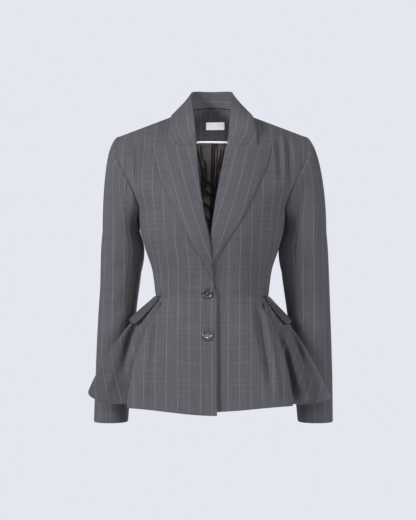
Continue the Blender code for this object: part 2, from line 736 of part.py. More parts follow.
def make_peplum(side: Side, group: bpy.types.Collection) -> bpy.types.Object:
    """The side peplum: one large flute between the two valleys."""
    mesh = bmesh.new()
    columns = len(FLUTE_STATIONS) - 1

    def place(i: int, j: int) -> Vector:
        trim = seam_trim(side.folds, FRONT_VALLEY, j / PEPLUM_ROWS) if i == 0 else 0.0
        if i == columns:
            trim = -seam_trim(side.folds, FLUTE, j / PEPLUM_ROWS)
        point = peplum_point(side.folds, FLUTE_STATIONS[i] + trim, j / PEPLUM_ROWS, side.edge)
        if j == 0:
            point.z -= WAIST_DROP
        return point

    add_grid(mesh, columns, PEPLUM_ROWS, place, side.sign)
    return finish(f"peplum_{side.name}", mesh, WOOL, group)


def back_upper_place(side: Side, angle: float, rise_row: float) -> Vector:
    """Point of the back above the waist, at an angle of the waist ring, rows counted from the waist."""
    if rise_row <= WAIST_TO_ARMPIT_ROWS:
        return ring_point(angle, mix(WAIST_Z, ARMPIT_Z, rise_row / WAIST_TO_ARMPIT_ROWS))
    rise = rise_of(rise_row)
    side_out = ring_point(side.folds[BACK_VALLEY].angle, ARMPIT_Z).x
    across = ring_point(angle, ARMPIT_Z).x / side_out
    reach = armhole_out(mix(ARMPIT_Z, SHOULDER_TIP[1], rise))
    reach = mix(side_out, reach, smooth(rise / ARMHOLE_SWEEP))
    out = reach * across
    top = neck_back_z(out) if out < NECK_POINT[0] else shoulder_z(out)
    z = mix(ARMPIT_Z, top, rise)
    return back_point(out, z - (0.5 * SEAM_GAP if rise == 1.0 else 0.0))


def make_back(side: Side, group: bpy.types.Collection) -> bpy.types.Object:
    """Half of the back, from the shoulder and neck to the hem, with the leg behind the flute."""
    mesh = bmesh.new()
    last = len(BACK_STATIONS) - 1
    leg = len(BACK_LEG_STATIONS)

    def upper(i: int, j: int) -> Vector:
        angle = peplum_angle(side.folds, BACK_STATIONS[i]) + (gap_angle() if i == 0 else 0.0)
        point = back_upper_place(side, angle, j)
        if i == last:
            point.x = 0.5 * SEAM_GAP
        return point

    def lower(i: int, j: int) -> Vector:
        if i >= leg and j == 0:
            return upper(i - leg, 0)
        trim = seam_trim(side.folds, FLUTE, j / PEPLUM_ROWS) if i == 0 else 0.0
        station = (BACK_LEG_STATIONS + BACK_STATIONS)[i] + trim
        point = peplum_point(side.folds, station, j / PEPLUM_ROWS, side.edge)
        if j == 0:
            point.z -= WAIST_DROP
        if i == leg + last:
            point.x = 0.5 * SEAM_GAP
        return point

    add_grid(mesh, last, WAIST_TO_ARMPIT_ROWS + ARMPIT_TO_SHOULDER_ROWS, upper, side.sign)
    add_grid(mesh, last + leg, PEPLUM_ROWS, lower, side.sign)
    return finish(f"back_{side.name}", mesh, WOOL, group)


def armhole_point(side: Side, index: float) -> tuple:
    """Point and outward normal of the armhole seam.

    index counts the points of the panels' own edges: from the shoulder tip (0) down the front, under the
    arm and up the back, so that the sleeve head follows the panels' edges.
    """
    rows = ARMPIT_TO_SHOULDER_ROWS
    top = WAIST_TO_ARMPIT_ROWS + rows
    if index <= rows:
        point = front_upper_place(side, 1.0, top - index)
        return point, normal_of(front_point, point.x, point.z)
    if index < rows + SIDE_COLUMNS:
        part = (index - rows) / SIDE_COLUMNS
        angle = mix(SIDE_FRONT_ANGLE, side.folds[BACK_VALLEY].angle, part)
        z = ARMPIT_Z - ARMHOLE_DIP * math.sin(math.pi * part)
        return ring_point(angle, z), normal_of(ring_point, angle, z)
    row = top - (ARMHOLE_POINTS - index)
    point = back_upper_place(side, side.folds[BACK_VALLEY].angle, row)
    return point, normal_of(back_point, point.x, point.z)


def around_of(index: float) -> float:
    """Place around the sleeve tube (0 outside, 0.25 front, 0.5 inside) of a point of the armhole seam."""
    rows = ARMPIT_TO_SHOULDER_ROWS
    if index <= rows:
        return FRONT_SHARE * index / rows
    if index < rows + SIDE_COLUMNS:
        return FRONT_SHARE + BELOW_SHARE * (index - rows) / SIDE_COLUMNS
    return 1.0 - FRONT_SHARE * (ARMHOLE_POINTS - index) / rows


def sleeve_section(side: Side, around: float, z: float) -> Vector:
    """Point of the sleeve tube at one height; around is 0 outside, 0.25 front, 0.5 inside."""
    turn = 2.0 * math.pi * around
    inner, outer, y, depth = (read(side.sleeve, "z", z, name) for name in ("inner", "outer", "y", "depth"))
    across = signed_power(math.cos(turn), RING_POWER)
    along = signed_power(math.sin(turn), RING_POWER)
    return Vector(((inner + outer) / 2 + (outer - inner) / 2 * across, y - depth / 2 * along, z))


def sleeve_point(side: Side, index: float, row: int) -> Vector:
    """Point of the sleeve: rows 0 to CAP_ROWS turn from the armhole to the level tube."""
    index = index % ARMHOLE_POINTS
    around = around_of(index)
    top, bottom = side.sleeve[-1].z, side.sleeve[0].z
    if row >= CAP_ROWS:
        return sleeve_section(side, around, mix(top, bottom, (row - CAP_ROWS) / SLEEVE_ROWS))
    seam, normal = armhole_point(side, index)
    start = seam + normal * LAY_ON
    end = sleeve_section(side, around, top)
    height = (math.cos(2.0 * math.pi * around) + 1.0) / 2.0
    low = 1.0 - height
    reach = Vector((mix(CAP_LOW_REACH, CAP_REACH, height), normal.y * CAP_SWELL * low,
                    -mix(CAP_LOW_DIP, CAP_DIP, height)))
    rise = Vector((0.0, 0.0, mix(CAP_LOW_DROP, CAP_DROP, height)))
    part = (row / CAP_ROWS) ** CAP_EASE
    first, second = start + reach, end + rise
    return ((1 - part) ** 3 * start + 3 * part * (1 - part) ** 2 * first
            + 3 * part ** 2 * (1 - part) * second + part ** 3 * end)


def make_sleeve(side: Side, name: str, first: int, last: int, group: bpy.types.Collection) -> bpy.types.Object:
    """One piece of a two-piece sleeve, between two points of the armhole seam."""
    mesh = bmesh.new()
    columns = last - first

    def place(i: int, j: int) -> Vector:
        trim = SLEEVE_TRIM if i == 0 else (-SLEEVE_TRIM if i == columns else 0.0)
        return sleeve_point(side, first + i + trim, j)

    add_grid(mesh, columns, CAP_ROWS + SLEEVE_ROWS, place, side.sign)
    return finish(f"{name}_{side.name}", mesh, WOOL, group)


def make_lapel(side: Side, group: bpy.types.Collection) -> bpy.types.Object:
    """A peak lapel that lies on its front, from the roll line to its free edge."""
    mesh = bmesh.new()
    bottom, top = side.lapel[0].z, side.lapel[-1].z

    def place(i: int, j: int) -> Vector:
        across = i / LAPEL_COLUMNS
        z = mix(bottom, top, j / LAPEL_ROWS)
        roll = read(side.roll, "z", z, "out") + LAPEL_ROLL_OUT
        out = mix(roll, max(read(side.lapel, "z", z, "out"), roll + LAPEL_LEAST_WIDTH), across)
        lift = LAPEL_LAY + LAPEL_SWELL * math.sin(math.pi * across) * smooth((z - bottom) / LAPEL_GROWTH)
        point = front_point(out, z) + normal_of(front_point, out, z) * lift
        point.y += side.inset * left_inset(out, z)
        return point

    add_grid(mesh, LAPEL_COLUMNS, LAPEL_ROWS, place, side.sign)
    return finish(f"lapel_{side.name}", mesh, WOOL, group)


def collar_line(name: str, at: float) -> Vector:
    """A line of the collar, read from its table, from one gorge (-1) round the back (0) to the other (1)."""
    along = 1.0 - abs(at)
    knots = [row.at for row in COLLAR_ROWS]
    values = [curve_through(knots, [getattr(row, name)[axis] for row in COLLAR_ROWS], along)
              for axis in range(3)]
    return Vector((math.copysign(values[0], at), values[1], values[2]))


def lift_off(point: Vector, clearance: float) -> Vector:
    """Move a point of the collar out until it clears the shoulders."""
    out = abs(point.x)
    if point.y < SHOULDER_Y and point.z < shoulder_z(out):
        point.y = min(point.y, front_point(out, point.z).y - clearance)
    if point.y >= SHOULDER_Y and point.z < back_top_z(out):
        point.y = max(point.y, back_point(out, point.z).y + clearance)
    return point


def collar_out(at: float) -> Vector:
    """Direction out of the neck at one place of the collar."""
    fold = collar_line("fold", at)
    return Vector((fold.x, fold.y - NECK_CENTRE_Y, 0.0)).normalized()


def make_collar(group: bpy.types.Collection) -> None:
    """The collar's outer leaf and its standing band."""
    leaf = bmesh.new()
    band = bmesh.new()

    def place_leaf(i: int, j: int) -> Vector:
        at = mix(-1.0, 1.0, i / COLLAR_COLUMNS)
        across = j / COLLAR_ROWS_ACROSS
        start = collar_line("fold", at) + collar_out(at) * LAY_ON * 0.5
        point = start.lerp(collar_line("edge", at), across)
        point += collar_out(at) * COLLAR_SWELL * math.sin(math.pi * across)
        clear = math.sin(math.pi * min(1.0, across * COLLAR_CLEAR_BY))
        return lift_off(point, mix(LAY_ON, COLLAR_CLEARANCE, clear))

    def place_band(i: int, j: int) -> Vector:
        at = mix(-1.0, 1.0, i / COLLAR_COLUMNS)
        top = collar_line("fold", at) - collar_out(at) * LAY_ON * 0.5
        foot = collar_line("seam", at) - collar_out(at) * LAY_ON
        return foot.lerp(top, j / COLLAR_ROWS_ACROSS)

    add_grid(leaf, COLLAR_COLUMNS, COLLAR_ROWS_ACROSS, place_leaf, 1)
    add_grid(band, COLLAR_COLUMNS, COLLAR_ROWS_ACROSS, place_band, 1)
    finish("collar_fall", leaf, WOOL, group)
    finish("collar_stand", band, WOOL, group)


def inside_back(out: float, z: float, depth: float) -> Vector:
    """Point inside the upper back, a given depth in from the back panels."""
    return back_point(out, z) - normal_of(back_point, out, z) * depth


def make_strip(name: str, half: float, bottom: Callable, top: Callable, rows: int, lay: float, looks: Looks,
               group: bpy.types.Collection) -> None:
    """A strip that lies inside the back neck; bottom and top give its heights at a distance out."""
    mesh = bmesh.new()

    def place(i: int, j: int) -> Vector:
        out = mix(-half, half, i / INSIDE_COLUMNS)
        return inside_back(out, mix(bottom(out), top(out), j / rows), lay)

    add_grid(mesh, INSIDE_COLUMNS, rows, place, 1)
    finish(name, mesh, looks, group)


def make_neck_inside(group: bpy.types.Collection) -> None:
    """The back neck facing with the piping along its lower edge."""
    make_strip("neck_facing", NECK_POINT[0] - FACING_MARGIN, lambda out: FACING_BOTTOM_Z,
               lambda out: neck_back_z(out) - FACING_TOP_DROP, FACING_ROWS, INSIDE_LAY, WOOL, group)
    top = FACING_BOTTOM_Z - SEAM_GAP
    make_strip("neck_piping", NECK_POINT[0] - PIPING_MARGIN, lambda out: top - PIPING_WIDTH,
               lambda out: top, 1, PIPING_LAY, WHITE_SATIN, group)


def make_label(group: bpy.types.Collection) -> None:
    """The blank label on the facing."""
    mesh = bmesh.new()
    add_grid(mesh, LABEL_COLUMNS, LABEL_ROWS, lambda i, j: inside_back(
        LABEL_CENTRE[0] + LABEL_WIDTH * (i / LABEL_COLUMNS - 0.5),
        LABEL_CENTRE[1] + LABEL_HEIGHT * (j / LABEL_ROWS - 0.5), LABEL_LAY), 1)
    finish("label", mesh, WHITE_SATIN, group, LABEL_WALL)


def make_lining(group: bpy.types.Collection) -> None:
    """The lining of the back, from the piping down to the waist."""
    mesh = bmesh.new()
    angle = RIGHT_FOLDS[BACK_VALLEY].angle
    top = FACING_BOTTOM_Z - PIPING_WIDTH - LINING_TOP_DROP

    def place(i: int, j: int) -> Vector:
        z = mix(WAIST_Z + LINING_BOTTOM_RISE, top, j / LINING_ROWS)
        reach = ring_point(angle, min(z, ARMPIT_Z)).x
        if z > ARMPIT_Z:
            rise = (z - ARMPIT_Z) / (SHOULDER_TIP[1] - ARMPIT_Z)
            reach = mix(reach, armhole_out(z), smooth(rise / ARMHOLE_SWEEP))
        return inside_back(mix(-1.0, 1.0, i / LINING_COLUMNS) * (reach - LINING_MARGIN), z, INSIDE_LAY)

    add_grid(mesh, LINING_COLUMNS, LINING_ROWS, place, 1)
    finish("lining_back", mesh, DARK_LINING, group, LINING_WALL)


def flap_place(side: Side, across: float, below: float) -> Vector:
    """Point of a pocket flap: across from its front edge (0) to its back edge (1), below from seam to edge."""
    first = mix(FLAP_FRONT[0], FLAP_FRONT[1], below)
    if across <= FLAP_RIDGE:
        station = mix(first, FLUTE, across / FLAP_RIDGE)
    else:
        station = mix(FLUTE, FLAP_BACK, (across - FLAP_RIDGE) / (1.0 - FLAP_RIDGE))
    corner = smooth(across / FLAP_CORNER) * smooth((1.0 - across) / FLAP_CORNER)
    down = mix(FLAP_TOP, FLAP_DEEP * mix(FLAP_END, 1.0, corner), below)

    def surface(at: float, depth: float) -> Vector:
        return peplum_point(side.folds, at, depth, side.edge)

    along = surface(station + FLAP_STEP, down) - surface(station - FLAP_STEP, down)
    fall = surface(station, down + FLAP_STEP) - surface(station, down - FLAP_STEP)
    normal = along.cross(fall).normalized()
    normal = normal if normal.dot(Vector((1.0, 0.0, 0.0))) >= 0.0 else -normal
    return surface(station, down) + normal * mix(LAY_ON, FLAP_LAY, smooth(below / FLAP_LAY_PART))


def make_flap(side: Side, group: bpy.types.Collection) -> bpy.types.Object:
    """A pocket flap over the top of the flute, hung from the waist seam."""
    mesh = bmesh.new()
    add_grid(mesh, len(FLAP_KNOTS) - 1, FLAP_ROWS, lambda i, j: flap_place(side, FLAP_KNOTS[i], j / FLAP_ROWS),
             side.sign)
    return finish(f"flap_{side.name}", mesh, WOOL, group)


def make_button(name: str, z: float, group: bpy.types.Collection, cutters: bpy.types.Collection) -> None:
    """A round button with a raised rim and four holes, on the right front."""
    mesh = bmesh.new()
    verts = [mesh.verts.new(Vector((row.radius, 0.0, row.height)) * MM) for row in BUTTON_PROFILE]
    for first, second in zip(verts, verts[1:]):
        mesh.edges.new((first, second))
    data = bpy.data.meshes.new(name)
    mesh.to_mesh(data)
    mesh.free()
    button = bpy.data.objects.new(name, data)
    group.objects.link(button)
    turn = button.modifiers.new("turn", "SCREW")
    turn.steps = BUTTON_STEPS
    turn.render_steps = BUTTON_STEPS
    turn.use_merge_vertices = True
    turn.merge_threshold = 0.00001
    button.data.materials.append(make_material(name, HORN))
    seat = button_seat(z)
    slope = (button_seat(z + BUTTON_RADIUS).y - button_seat(z - BUTTON_RADIUS).y) / (2.0 * BUTTON_RADIUS)
    button.location = Vector((BUTTON_OUT, seat.y - 0.5 * WALL - BUTTON_SEATS[name], z)) * MM
    button.rotation_euler = (math.radians(90.0) - math.atan(slope), 0.0, 0.0)
    cut = button.modifiers.new("thread_holes", "BOOLEAN")
    cut.operation = "DIFFERENCE"
    cut.object = make_thread_holes(button, cutters)


def make_thread_holes(button: bpy.types.Object, cutters: bpy.types.Collection) -> bpy.types.Object:
    """The cutter of a button's four holes, which follows the button."""
    mesh = bmesh.new()
    for quarter in range(4):
        turn = math.radians(45.0 + 90.0 * quarter)
        place = Vector((math.cos(turn), math.sin(turn), 0.0)) * BUTTON_HOLE_OUT * MM
        bmesh.ops.create_cone(mesh, cap_ends=True, segments=BUTTON_HOLE_SIDES, radius1=BUTTON_HOLE_RADIUS * MM,
                              radius2=BUTTON_HOLE_RADIUS * MM, depth=4.0 * BUTTON_THICKNESS * MM,
                              matrix=Matrix.Translation(place))
    data = bpy.data.meshes.new(f"{button.name}_holes")
    mesh.to_mesh(data)
    mesh.free()
    cutter = bpy.data.objects.new(data.name, data)
    cutter.parent = button
    cutter.hide_render = True
    cutter.display_type = "WIRE"
    cutters.objects.link(cutter)
    return cutter


def button_seat(z: float) -> Vector:
    """Point of the right front under a button at one height."""
    if z > WAIST_Z:
        return ring_point(edge_angle(-BUTTON_OUT, z), z)
    down = (z - WAIST_Z) / (RIGHT_FOLDS[0].hem_z - WAIST_Z)
    fold = fold_point(RIGHT_FOLDS[FRONT_FOLD], down)
    return front_low_point(RIGHT_FOLDS, (-BUTTON_OUT - RIGHT_EDGE) / (fold.x - RIGHT_EDGE), RIGHT_EDGE, down)


def main() -> None:
    """Build the jacket."""
    for thing in list(bpy.data.objects):
        bpy.data.objects.remove(thing, do_unlink=True)
    jacket = bpy.data.collections.new("peplum_jacket")
    bpy.context.scene.collection.children.link(jacket)
    cutters = bpy.data.collections.new("cutters")
    bpy.context.scene.collection.children.link(cutters)
    for side in (RIGHT, LEFT):
        make_front(side, jacket)
        make_side_body(side, jacket)
        make_back(side, jacket)
        make_peplum(side, jacket)
        make_sleeve(side, "sleeve_top", HINDARM_SEAM, FOREARM_SEAM, jacket)
        make_sleeve(side, "sleeve_under", FOREARM_SEAM, ARMHOLE_POINTS + HINDARM_SEAM, jacket)
        make_lapel(side, jacket)
        make_flap(side, jacket)
    make_collar(jacket)
    make_neck_inside(jacket)
    make_label(jacket)
    make_lining(jacket)
    for name, z in BUTTON_HEIGHTS.items():
        make_button(name, z, jacket, cutters)


main()
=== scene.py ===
"""Peplum jacket, dressed: pinstriped wool cut as the real panels are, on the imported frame.

Metres, +Z up, the jacket faces -Y, the wearer's left is at +X. The classes work in millimetres and in half
shapes, measured out from the centre line, so that one rule serves both sides.
"""

import logging
import math
from dataclasses import dataclass
from enum import Enum
from typing import Callable, Optional, Sequence

import bmesh
import bpy
from mathutils import Matrix, Vector
from mathutils.kdtree import KDTree


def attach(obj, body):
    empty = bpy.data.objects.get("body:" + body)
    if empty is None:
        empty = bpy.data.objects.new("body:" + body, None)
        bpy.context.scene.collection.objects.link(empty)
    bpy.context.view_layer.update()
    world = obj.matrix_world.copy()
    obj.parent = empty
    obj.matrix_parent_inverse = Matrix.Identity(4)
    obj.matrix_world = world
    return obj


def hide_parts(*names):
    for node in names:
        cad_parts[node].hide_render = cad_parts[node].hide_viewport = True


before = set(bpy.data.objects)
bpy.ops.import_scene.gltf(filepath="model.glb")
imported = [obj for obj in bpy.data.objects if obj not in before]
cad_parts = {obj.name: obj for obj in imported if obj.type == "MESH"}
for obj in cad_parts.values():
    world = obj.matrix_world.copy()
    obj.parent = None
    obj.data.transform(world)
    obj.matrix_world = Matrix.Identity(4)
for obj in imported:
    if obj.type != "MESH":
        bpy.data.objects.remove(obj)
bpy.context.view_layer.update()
Pair = tuple[float, float]
Triple = tuple[float, float, float]
Pairs = tuple[Pair, ...]
Points = list[list[Vector]]
Material = bpy.types.Material
Socket = bpy.types.NodeSocket
LOG = logging.getLogger("peplum_jacket")

MM = 0.001
WALL = 1.5
WALL_LINING = 1.0
WALL_LABEL = 0.6
SEAM_GAP = 0.4
SEAM_SPREAD = 1.4
SEAM_DROP = 0.9
SEAM_DROP_END = 0.05
OUTWARD_RISE = 30.0
UV_NAME = "cloth"


def smooth(value: float) -> float:
    """Ease from 0 to 1, level at both ends.

    Args:
        value: How far along, cut to 0 and 1.

    Returns:
        The eased part.
    """
    value = min(1.0, max(0.0, value))
    return value * value * (3.0 - 2.0 * value)


def mix(first: float, second: float, part: float) -> float:
    """The number that lies part of the way from first to second."""
    return first + (second - first) * part


def signed_power(value: float, power: float) -> float:
    """A power that keeps the sign."""
    return math.copysign(abs(value) ** power, value)


def spread(first: float, last: float, steps: int) -> list[float]:
    """Evenly spaced values from first to last, both kept."""
    return [mix(first, last, i / steps) for i in range(steps + 1)]


def crowded(values: Sequence[float], ends: tuple[bool, bool] = (True, True)) -> list[float]:
    """Values with two more close to each chosen end, where a turned-in edge needs them.

    Args:
        values: Values in order.
        ends: Whether the first and the last end get more values.

    Returns:
        The longer list.
    """
    near, far = 0.22, 0.55
    made = list(values)
    if ends[1]:
        made[-1:-1] = [mix(made[-1], made[-2], far), mix(made[-1], made[-2], near)]
    if ends[0]:
        made[1:1] = [mix(made[0], made[1], near), mix(made[0], made[1], far)]
    return made


class Curve:
    """A smooth curve through knots that never overshoots them."""

    def __init__(self, knots: Sequence[float], values: Sequence[float]) -> None:
        """Keep the knots in rising order and work out the slope at each.

        Args:
            knots: Places.
            values: The value at each place.
        """
        pairs = sorted(zip(knots, values))
        self.knots = [pair[0] for pair in pairs]
        self.values = [pair[1] for pair in pairs]
        count = len(pairs)
        slopes = [(self.values[i + 1] - self.values[i]) / (self.knots[i + 1] - self.knots[i])
                  for i in range(count - 1)]
        self.tangents = [slopes[0]]
        for before, after in zip(slopes, slopes[1:]):
            self.tangents.append(0.0 if before * after <= 0.0 else 2.0 * before * after / (before + after))
        self.tangents.append(slopes[-1])

    def __call__(self, at: float) -> float:
        """Value at one place, held level past both ends.

        Args:
            at: The place.

        Returns:
            The value there.
        """
        if at <= self.knots[0]:
            return self.values[0]
        if at >= self.knots[-1]:
            return self.values[-1]
        index = next(i for i in range(len(self.knots) - 1) if at <= self.knots[i + 1])
        width = self.knots[index + 1] - self.knots[index]
        part = (at - self.knots[index]) / width
        square, cube = part * part, part * part * part
        start = (2 * cube - 3 * square + 1) * self.values[index]
        start += (cube - 2 * square + part) * width * self.tangents[index]
        end = (3 * square - 2 * cube) * self.values[index + 1]
        return start + end + (cube - square) * width * self.tangents[index + 1]


@dataclass(frozen=True)
class Crease:
    """A soft trough or ridge on the cloth, from one place to another in the piece's own two values."""

    start: Pair
    end: Pair
    depth: float
    width: float
    bow: float = 0.0
    fade_in: float = 0.25
    fade_out: float = 0.4

    def rise(self, first: float, second: float) -> float:
        """How far the cloth is lifted at a place, in millimetres; a trough is negative.

        Args:
            first: First value of the place.
            second: Second value of the place.

        Returns:
            The lift.
        """
        along = (self.end[0] - self.start[0], self.end[1] - self.start[1])
        length = math.hypot(*along)
        gap = (first - self.start[0], second - self.start[1])
        part = (gap[0] * along[0] + gap[1] * along[1]) / length ** 2
        if not 0.0 < part < 1.0:
            return 0.0
        aside = (gap[0] * along[1] - gap[1] * along[0]) / length - self.bow * 4.0 * part * (1.0 - part)
        if abs(aside) > 3.0 * self.width:
            return 0.0
        fade = smooth(part / self.fade_in) * smooth((1.0 - part) / self.fade_out)
        return self.depth * fade * math.exp(-(aside / self.width) ** 2)


def all_creases(creases: Sequence[Crease], first: float, second: float) -> float:
    """Sum of the lifts of several creases at one place."""
    return sum(crease.rise(first, second) for crease in creases)


@dataclass(frozen=True)
class Level:
    """Size of the body at one height."""

    z: float
    half_width: float
    front: float
    back: float


@dataclass
class Body:
    """The hollow form that the jacket is cut to: rings below the arm, a yoke above it."""

    levels: tuple[Level, ...] = (
        Level(-335, 124, 88, 80), Level(-280, 131, 98, 88), Level(-233, 146, 112, 96),
        Level(-190, 158, 121, 101), Level(-140, 166, 119, 104), Level(-109, 190, 111, 104),
        Level(-69, 222, 98, 102), Level(-27, 252, 86, 99), Level(0, 268, 80, 97),
        Level(72, 290, 70, 90), Level(120, 300, 66, 80),
    )
    armhole: Pairs = (
        (-140, 159), (-109, 170), (-69, 190), (-27, 209), (0, 212), (18, 205),
    )
    waist_z: float = -335.0
    armpit_z: float = -140.0
    armhole_dip: float = 5.0
    neck_point: Pair = (62.0, 72.0)
    shoulder_tip: Pair = (205.0, 18.0)
    shoulder_y: float = 5.0
    neck_rise: float = 12.0
    neck_round: float = 40.0
    chest_height: float = 160.0
    back_height: float = 110.0
    ring_power: float = 2.0 / 2.3
    section_power: float = 2.3
    ease_power: float = 0.8
    rows: int = 15
    waist_rows: int = 6
    row_ease: float = 1.7

    def __post_init__(self) -> None:
        """Turn the tables into curves."""
        heights = [level.z for level in self.levels]
        self.half_width = Curve(heights, [level.half_width for level in self.levels])
        self.front_depth = Curve(heights, [level.front for level in self.levels])
        self.back_depth = Curve(heights, [level.back for level in self.levels])
        self.armhole_out = Curve([row[0] for row in self.armhole], [row[1] for row in self.armhole])

    def ring_point(self, angle: float, z: float) -> Vector:
        """Point below the armhole: angle in degrees, front 0, side 90, back 180.

        Args:
            angle: Angle on the ring.
            z: Height.

        Returns:
            The point.
        """
        turn = math.radians(angle)
        out = self.half_width(z) * signed_power(math.sin(turn), self.ring_power)
        depth = self.front_depth(z) if angle < 90.0 else self.back_depth(z)
        return Vector((out, -depth * signed_power(math.cos(turn), self.ring_power), z))

    def angle_at(self, out: float, z: float) -> float:
        """Angle on the ring of a point on the front that lies out from the centre."""
        return math.degrees(math.asin(signed_power(out / self.half_width(z), 1.0 / self.ring_power)))

    def shoulder_z(self, out: float) -> float:
        """Height of the shoulder line, carried on straight into the neck."""
        slope = (self.shoulder_tip[1] - self.neck_point[1]) / (self.shoulder_tip[0] - self.neck_point[0])
        return self.neck_point[1] + slope * (out - self.neck_point[0])

    def section(self, out: float, z: float, depth: float) -> float:
        """Depth of the flattened section above the armpit at one distance out."""
        edge = min(1.0, abs(out) / self.half_width(z))
        return depth * (1.0 - edge ** self.section_power) ** (1.0 / self.section_power)

    def chest_ease(self, below: float, height: float) -> float:
        """How far the chest has come out, below the shoulder line."""
        part = min(1.0, max(0.0, below / height))
        return (1.0 - (1.0 - part) ** 2) ** self.ease_power

    def front_point(self, out: float, z: float) -> Vector:
        """Point of the front above the armpit."""
        ease = self.chest_ease(self.shoulder_z(abs(out)) - z, self.chest_height)
        depth = self.section(out, z, self.front_depth(z))
        return Vector((out, self.shoulder_y - (self.shoulder_y + depth) * ease, z))

    def back_top_z(self, out: float) -> float:
        """Height where the back would reach the shoulder line, raised inside the neck."""
        if abs(out) >= self.neck_point[0]:
            return self.shoulder_z(abs(out))
        return self.neck_point[1] + self.neck_round * (1.0 - (out / self.neck_point[0]) ** 2)

    def back_point(self, out: float, z: float) -> Vector:
        """Point of the back above the armpit."""
        ease = self.chest_ease(self.back_top_z(out) - z, self.back_height)
        depth = self.section(out, z, self.back_depth(z))
        return Vector((out, self.shoulder_y + (depth - self.shoulder_y) * ease, z))

    def neck_back_z(self, out: float) -> float:
        """Height of the back neck seam."""
        return self.neck_point[1] + self.neck_rise * (1.0 - (out / self.neck_point[0]) ** 2)

    def climb(self, row: float) -> float:
        """Part of the way from the armpit to the shoulder at a row of the panels."""
        return 1.0 - (1.0 - (row - self.waist_rows) / (self.rows - self.waist_rows)) ** self.row_ease

    def inside_back(self, out: float, z: float, depth: float) -> Vector:
        """Point inside the upper back, a given depth in from the back panels."""
        return self.back_point(out, z) - normal_of(self.back_point, out, z) * depth


def normal_of(surface: Callable, first: float, second: float, step: float = 0.5) -> Vector:
    """Outward normal of a surface of two values, by small steps.

    Args:
        surface: Gives a point for two values.
        first: First value.
        second: Second value.
        step: Size of the small step.

    Returns:
        A direction of length one that points away from the middle of the body.
    """
    along = surface(first + step, second) - surface(first - step, second)
    across = surface(first, second + step) - surface(first, second - step)
    normal = along.cross(across).normalized()
    point = surface(first, second)
    return normal if normal.dot(Vector((point.x, point.y, OUTWARD_RISE))) >= 0.0 else -normal


BODY = Body()
FRONT_FOLD, FRONT_VALLEY, FLUTE, BACK_VALLEY, CENTRE_BACK = 1, 2, 3, 4, 8


def seam_angle() -> float:
    """Half the gap of an upright seam at the waist, in degrees."""
    return math.degrees(0.5 * SEAM_GAP / BODY.levels[0].half_width) * SEAM_SPREAD


def seam_drop(down: float) -> float:
    """How far the cloth beside the flute starts under the waist seam, gone a little further down."""
    return SEAM_DROP * (1.0 - smooth(down / SEAM_DROP_END))


@dataclass(frozen=True)
class Fold:
    """One station of the peplum: its angle on the waist, its hem place and how softly it turns."""

    angle: float
    hem_out: float
    hem_y: float
    hem_z: float
    bow: float
    soft_in: float
    soft_out: float

    def point(self, down: float) -> Vector:
        """Place of the station, down 0 at the waist and 1 at the hem."""
        start = BODY.ring_point(self.angle, BODY.waist_z)
        part = down + self.bow * down * (1.0 - down)
        return Vector((mix(start.x, self.hem_out, part), mix(start.y, self.hem_y, part),
                       mix(BODY.waist_z, self.hem_z, down)))


@dataclass(frozen=True)
class SleeveRow:
    """One section of the sleeve: its height, inner and outer edge, middle in Y and depth."""

    z: float
    inner: float
    outer: float
    middle: float
    depth: float


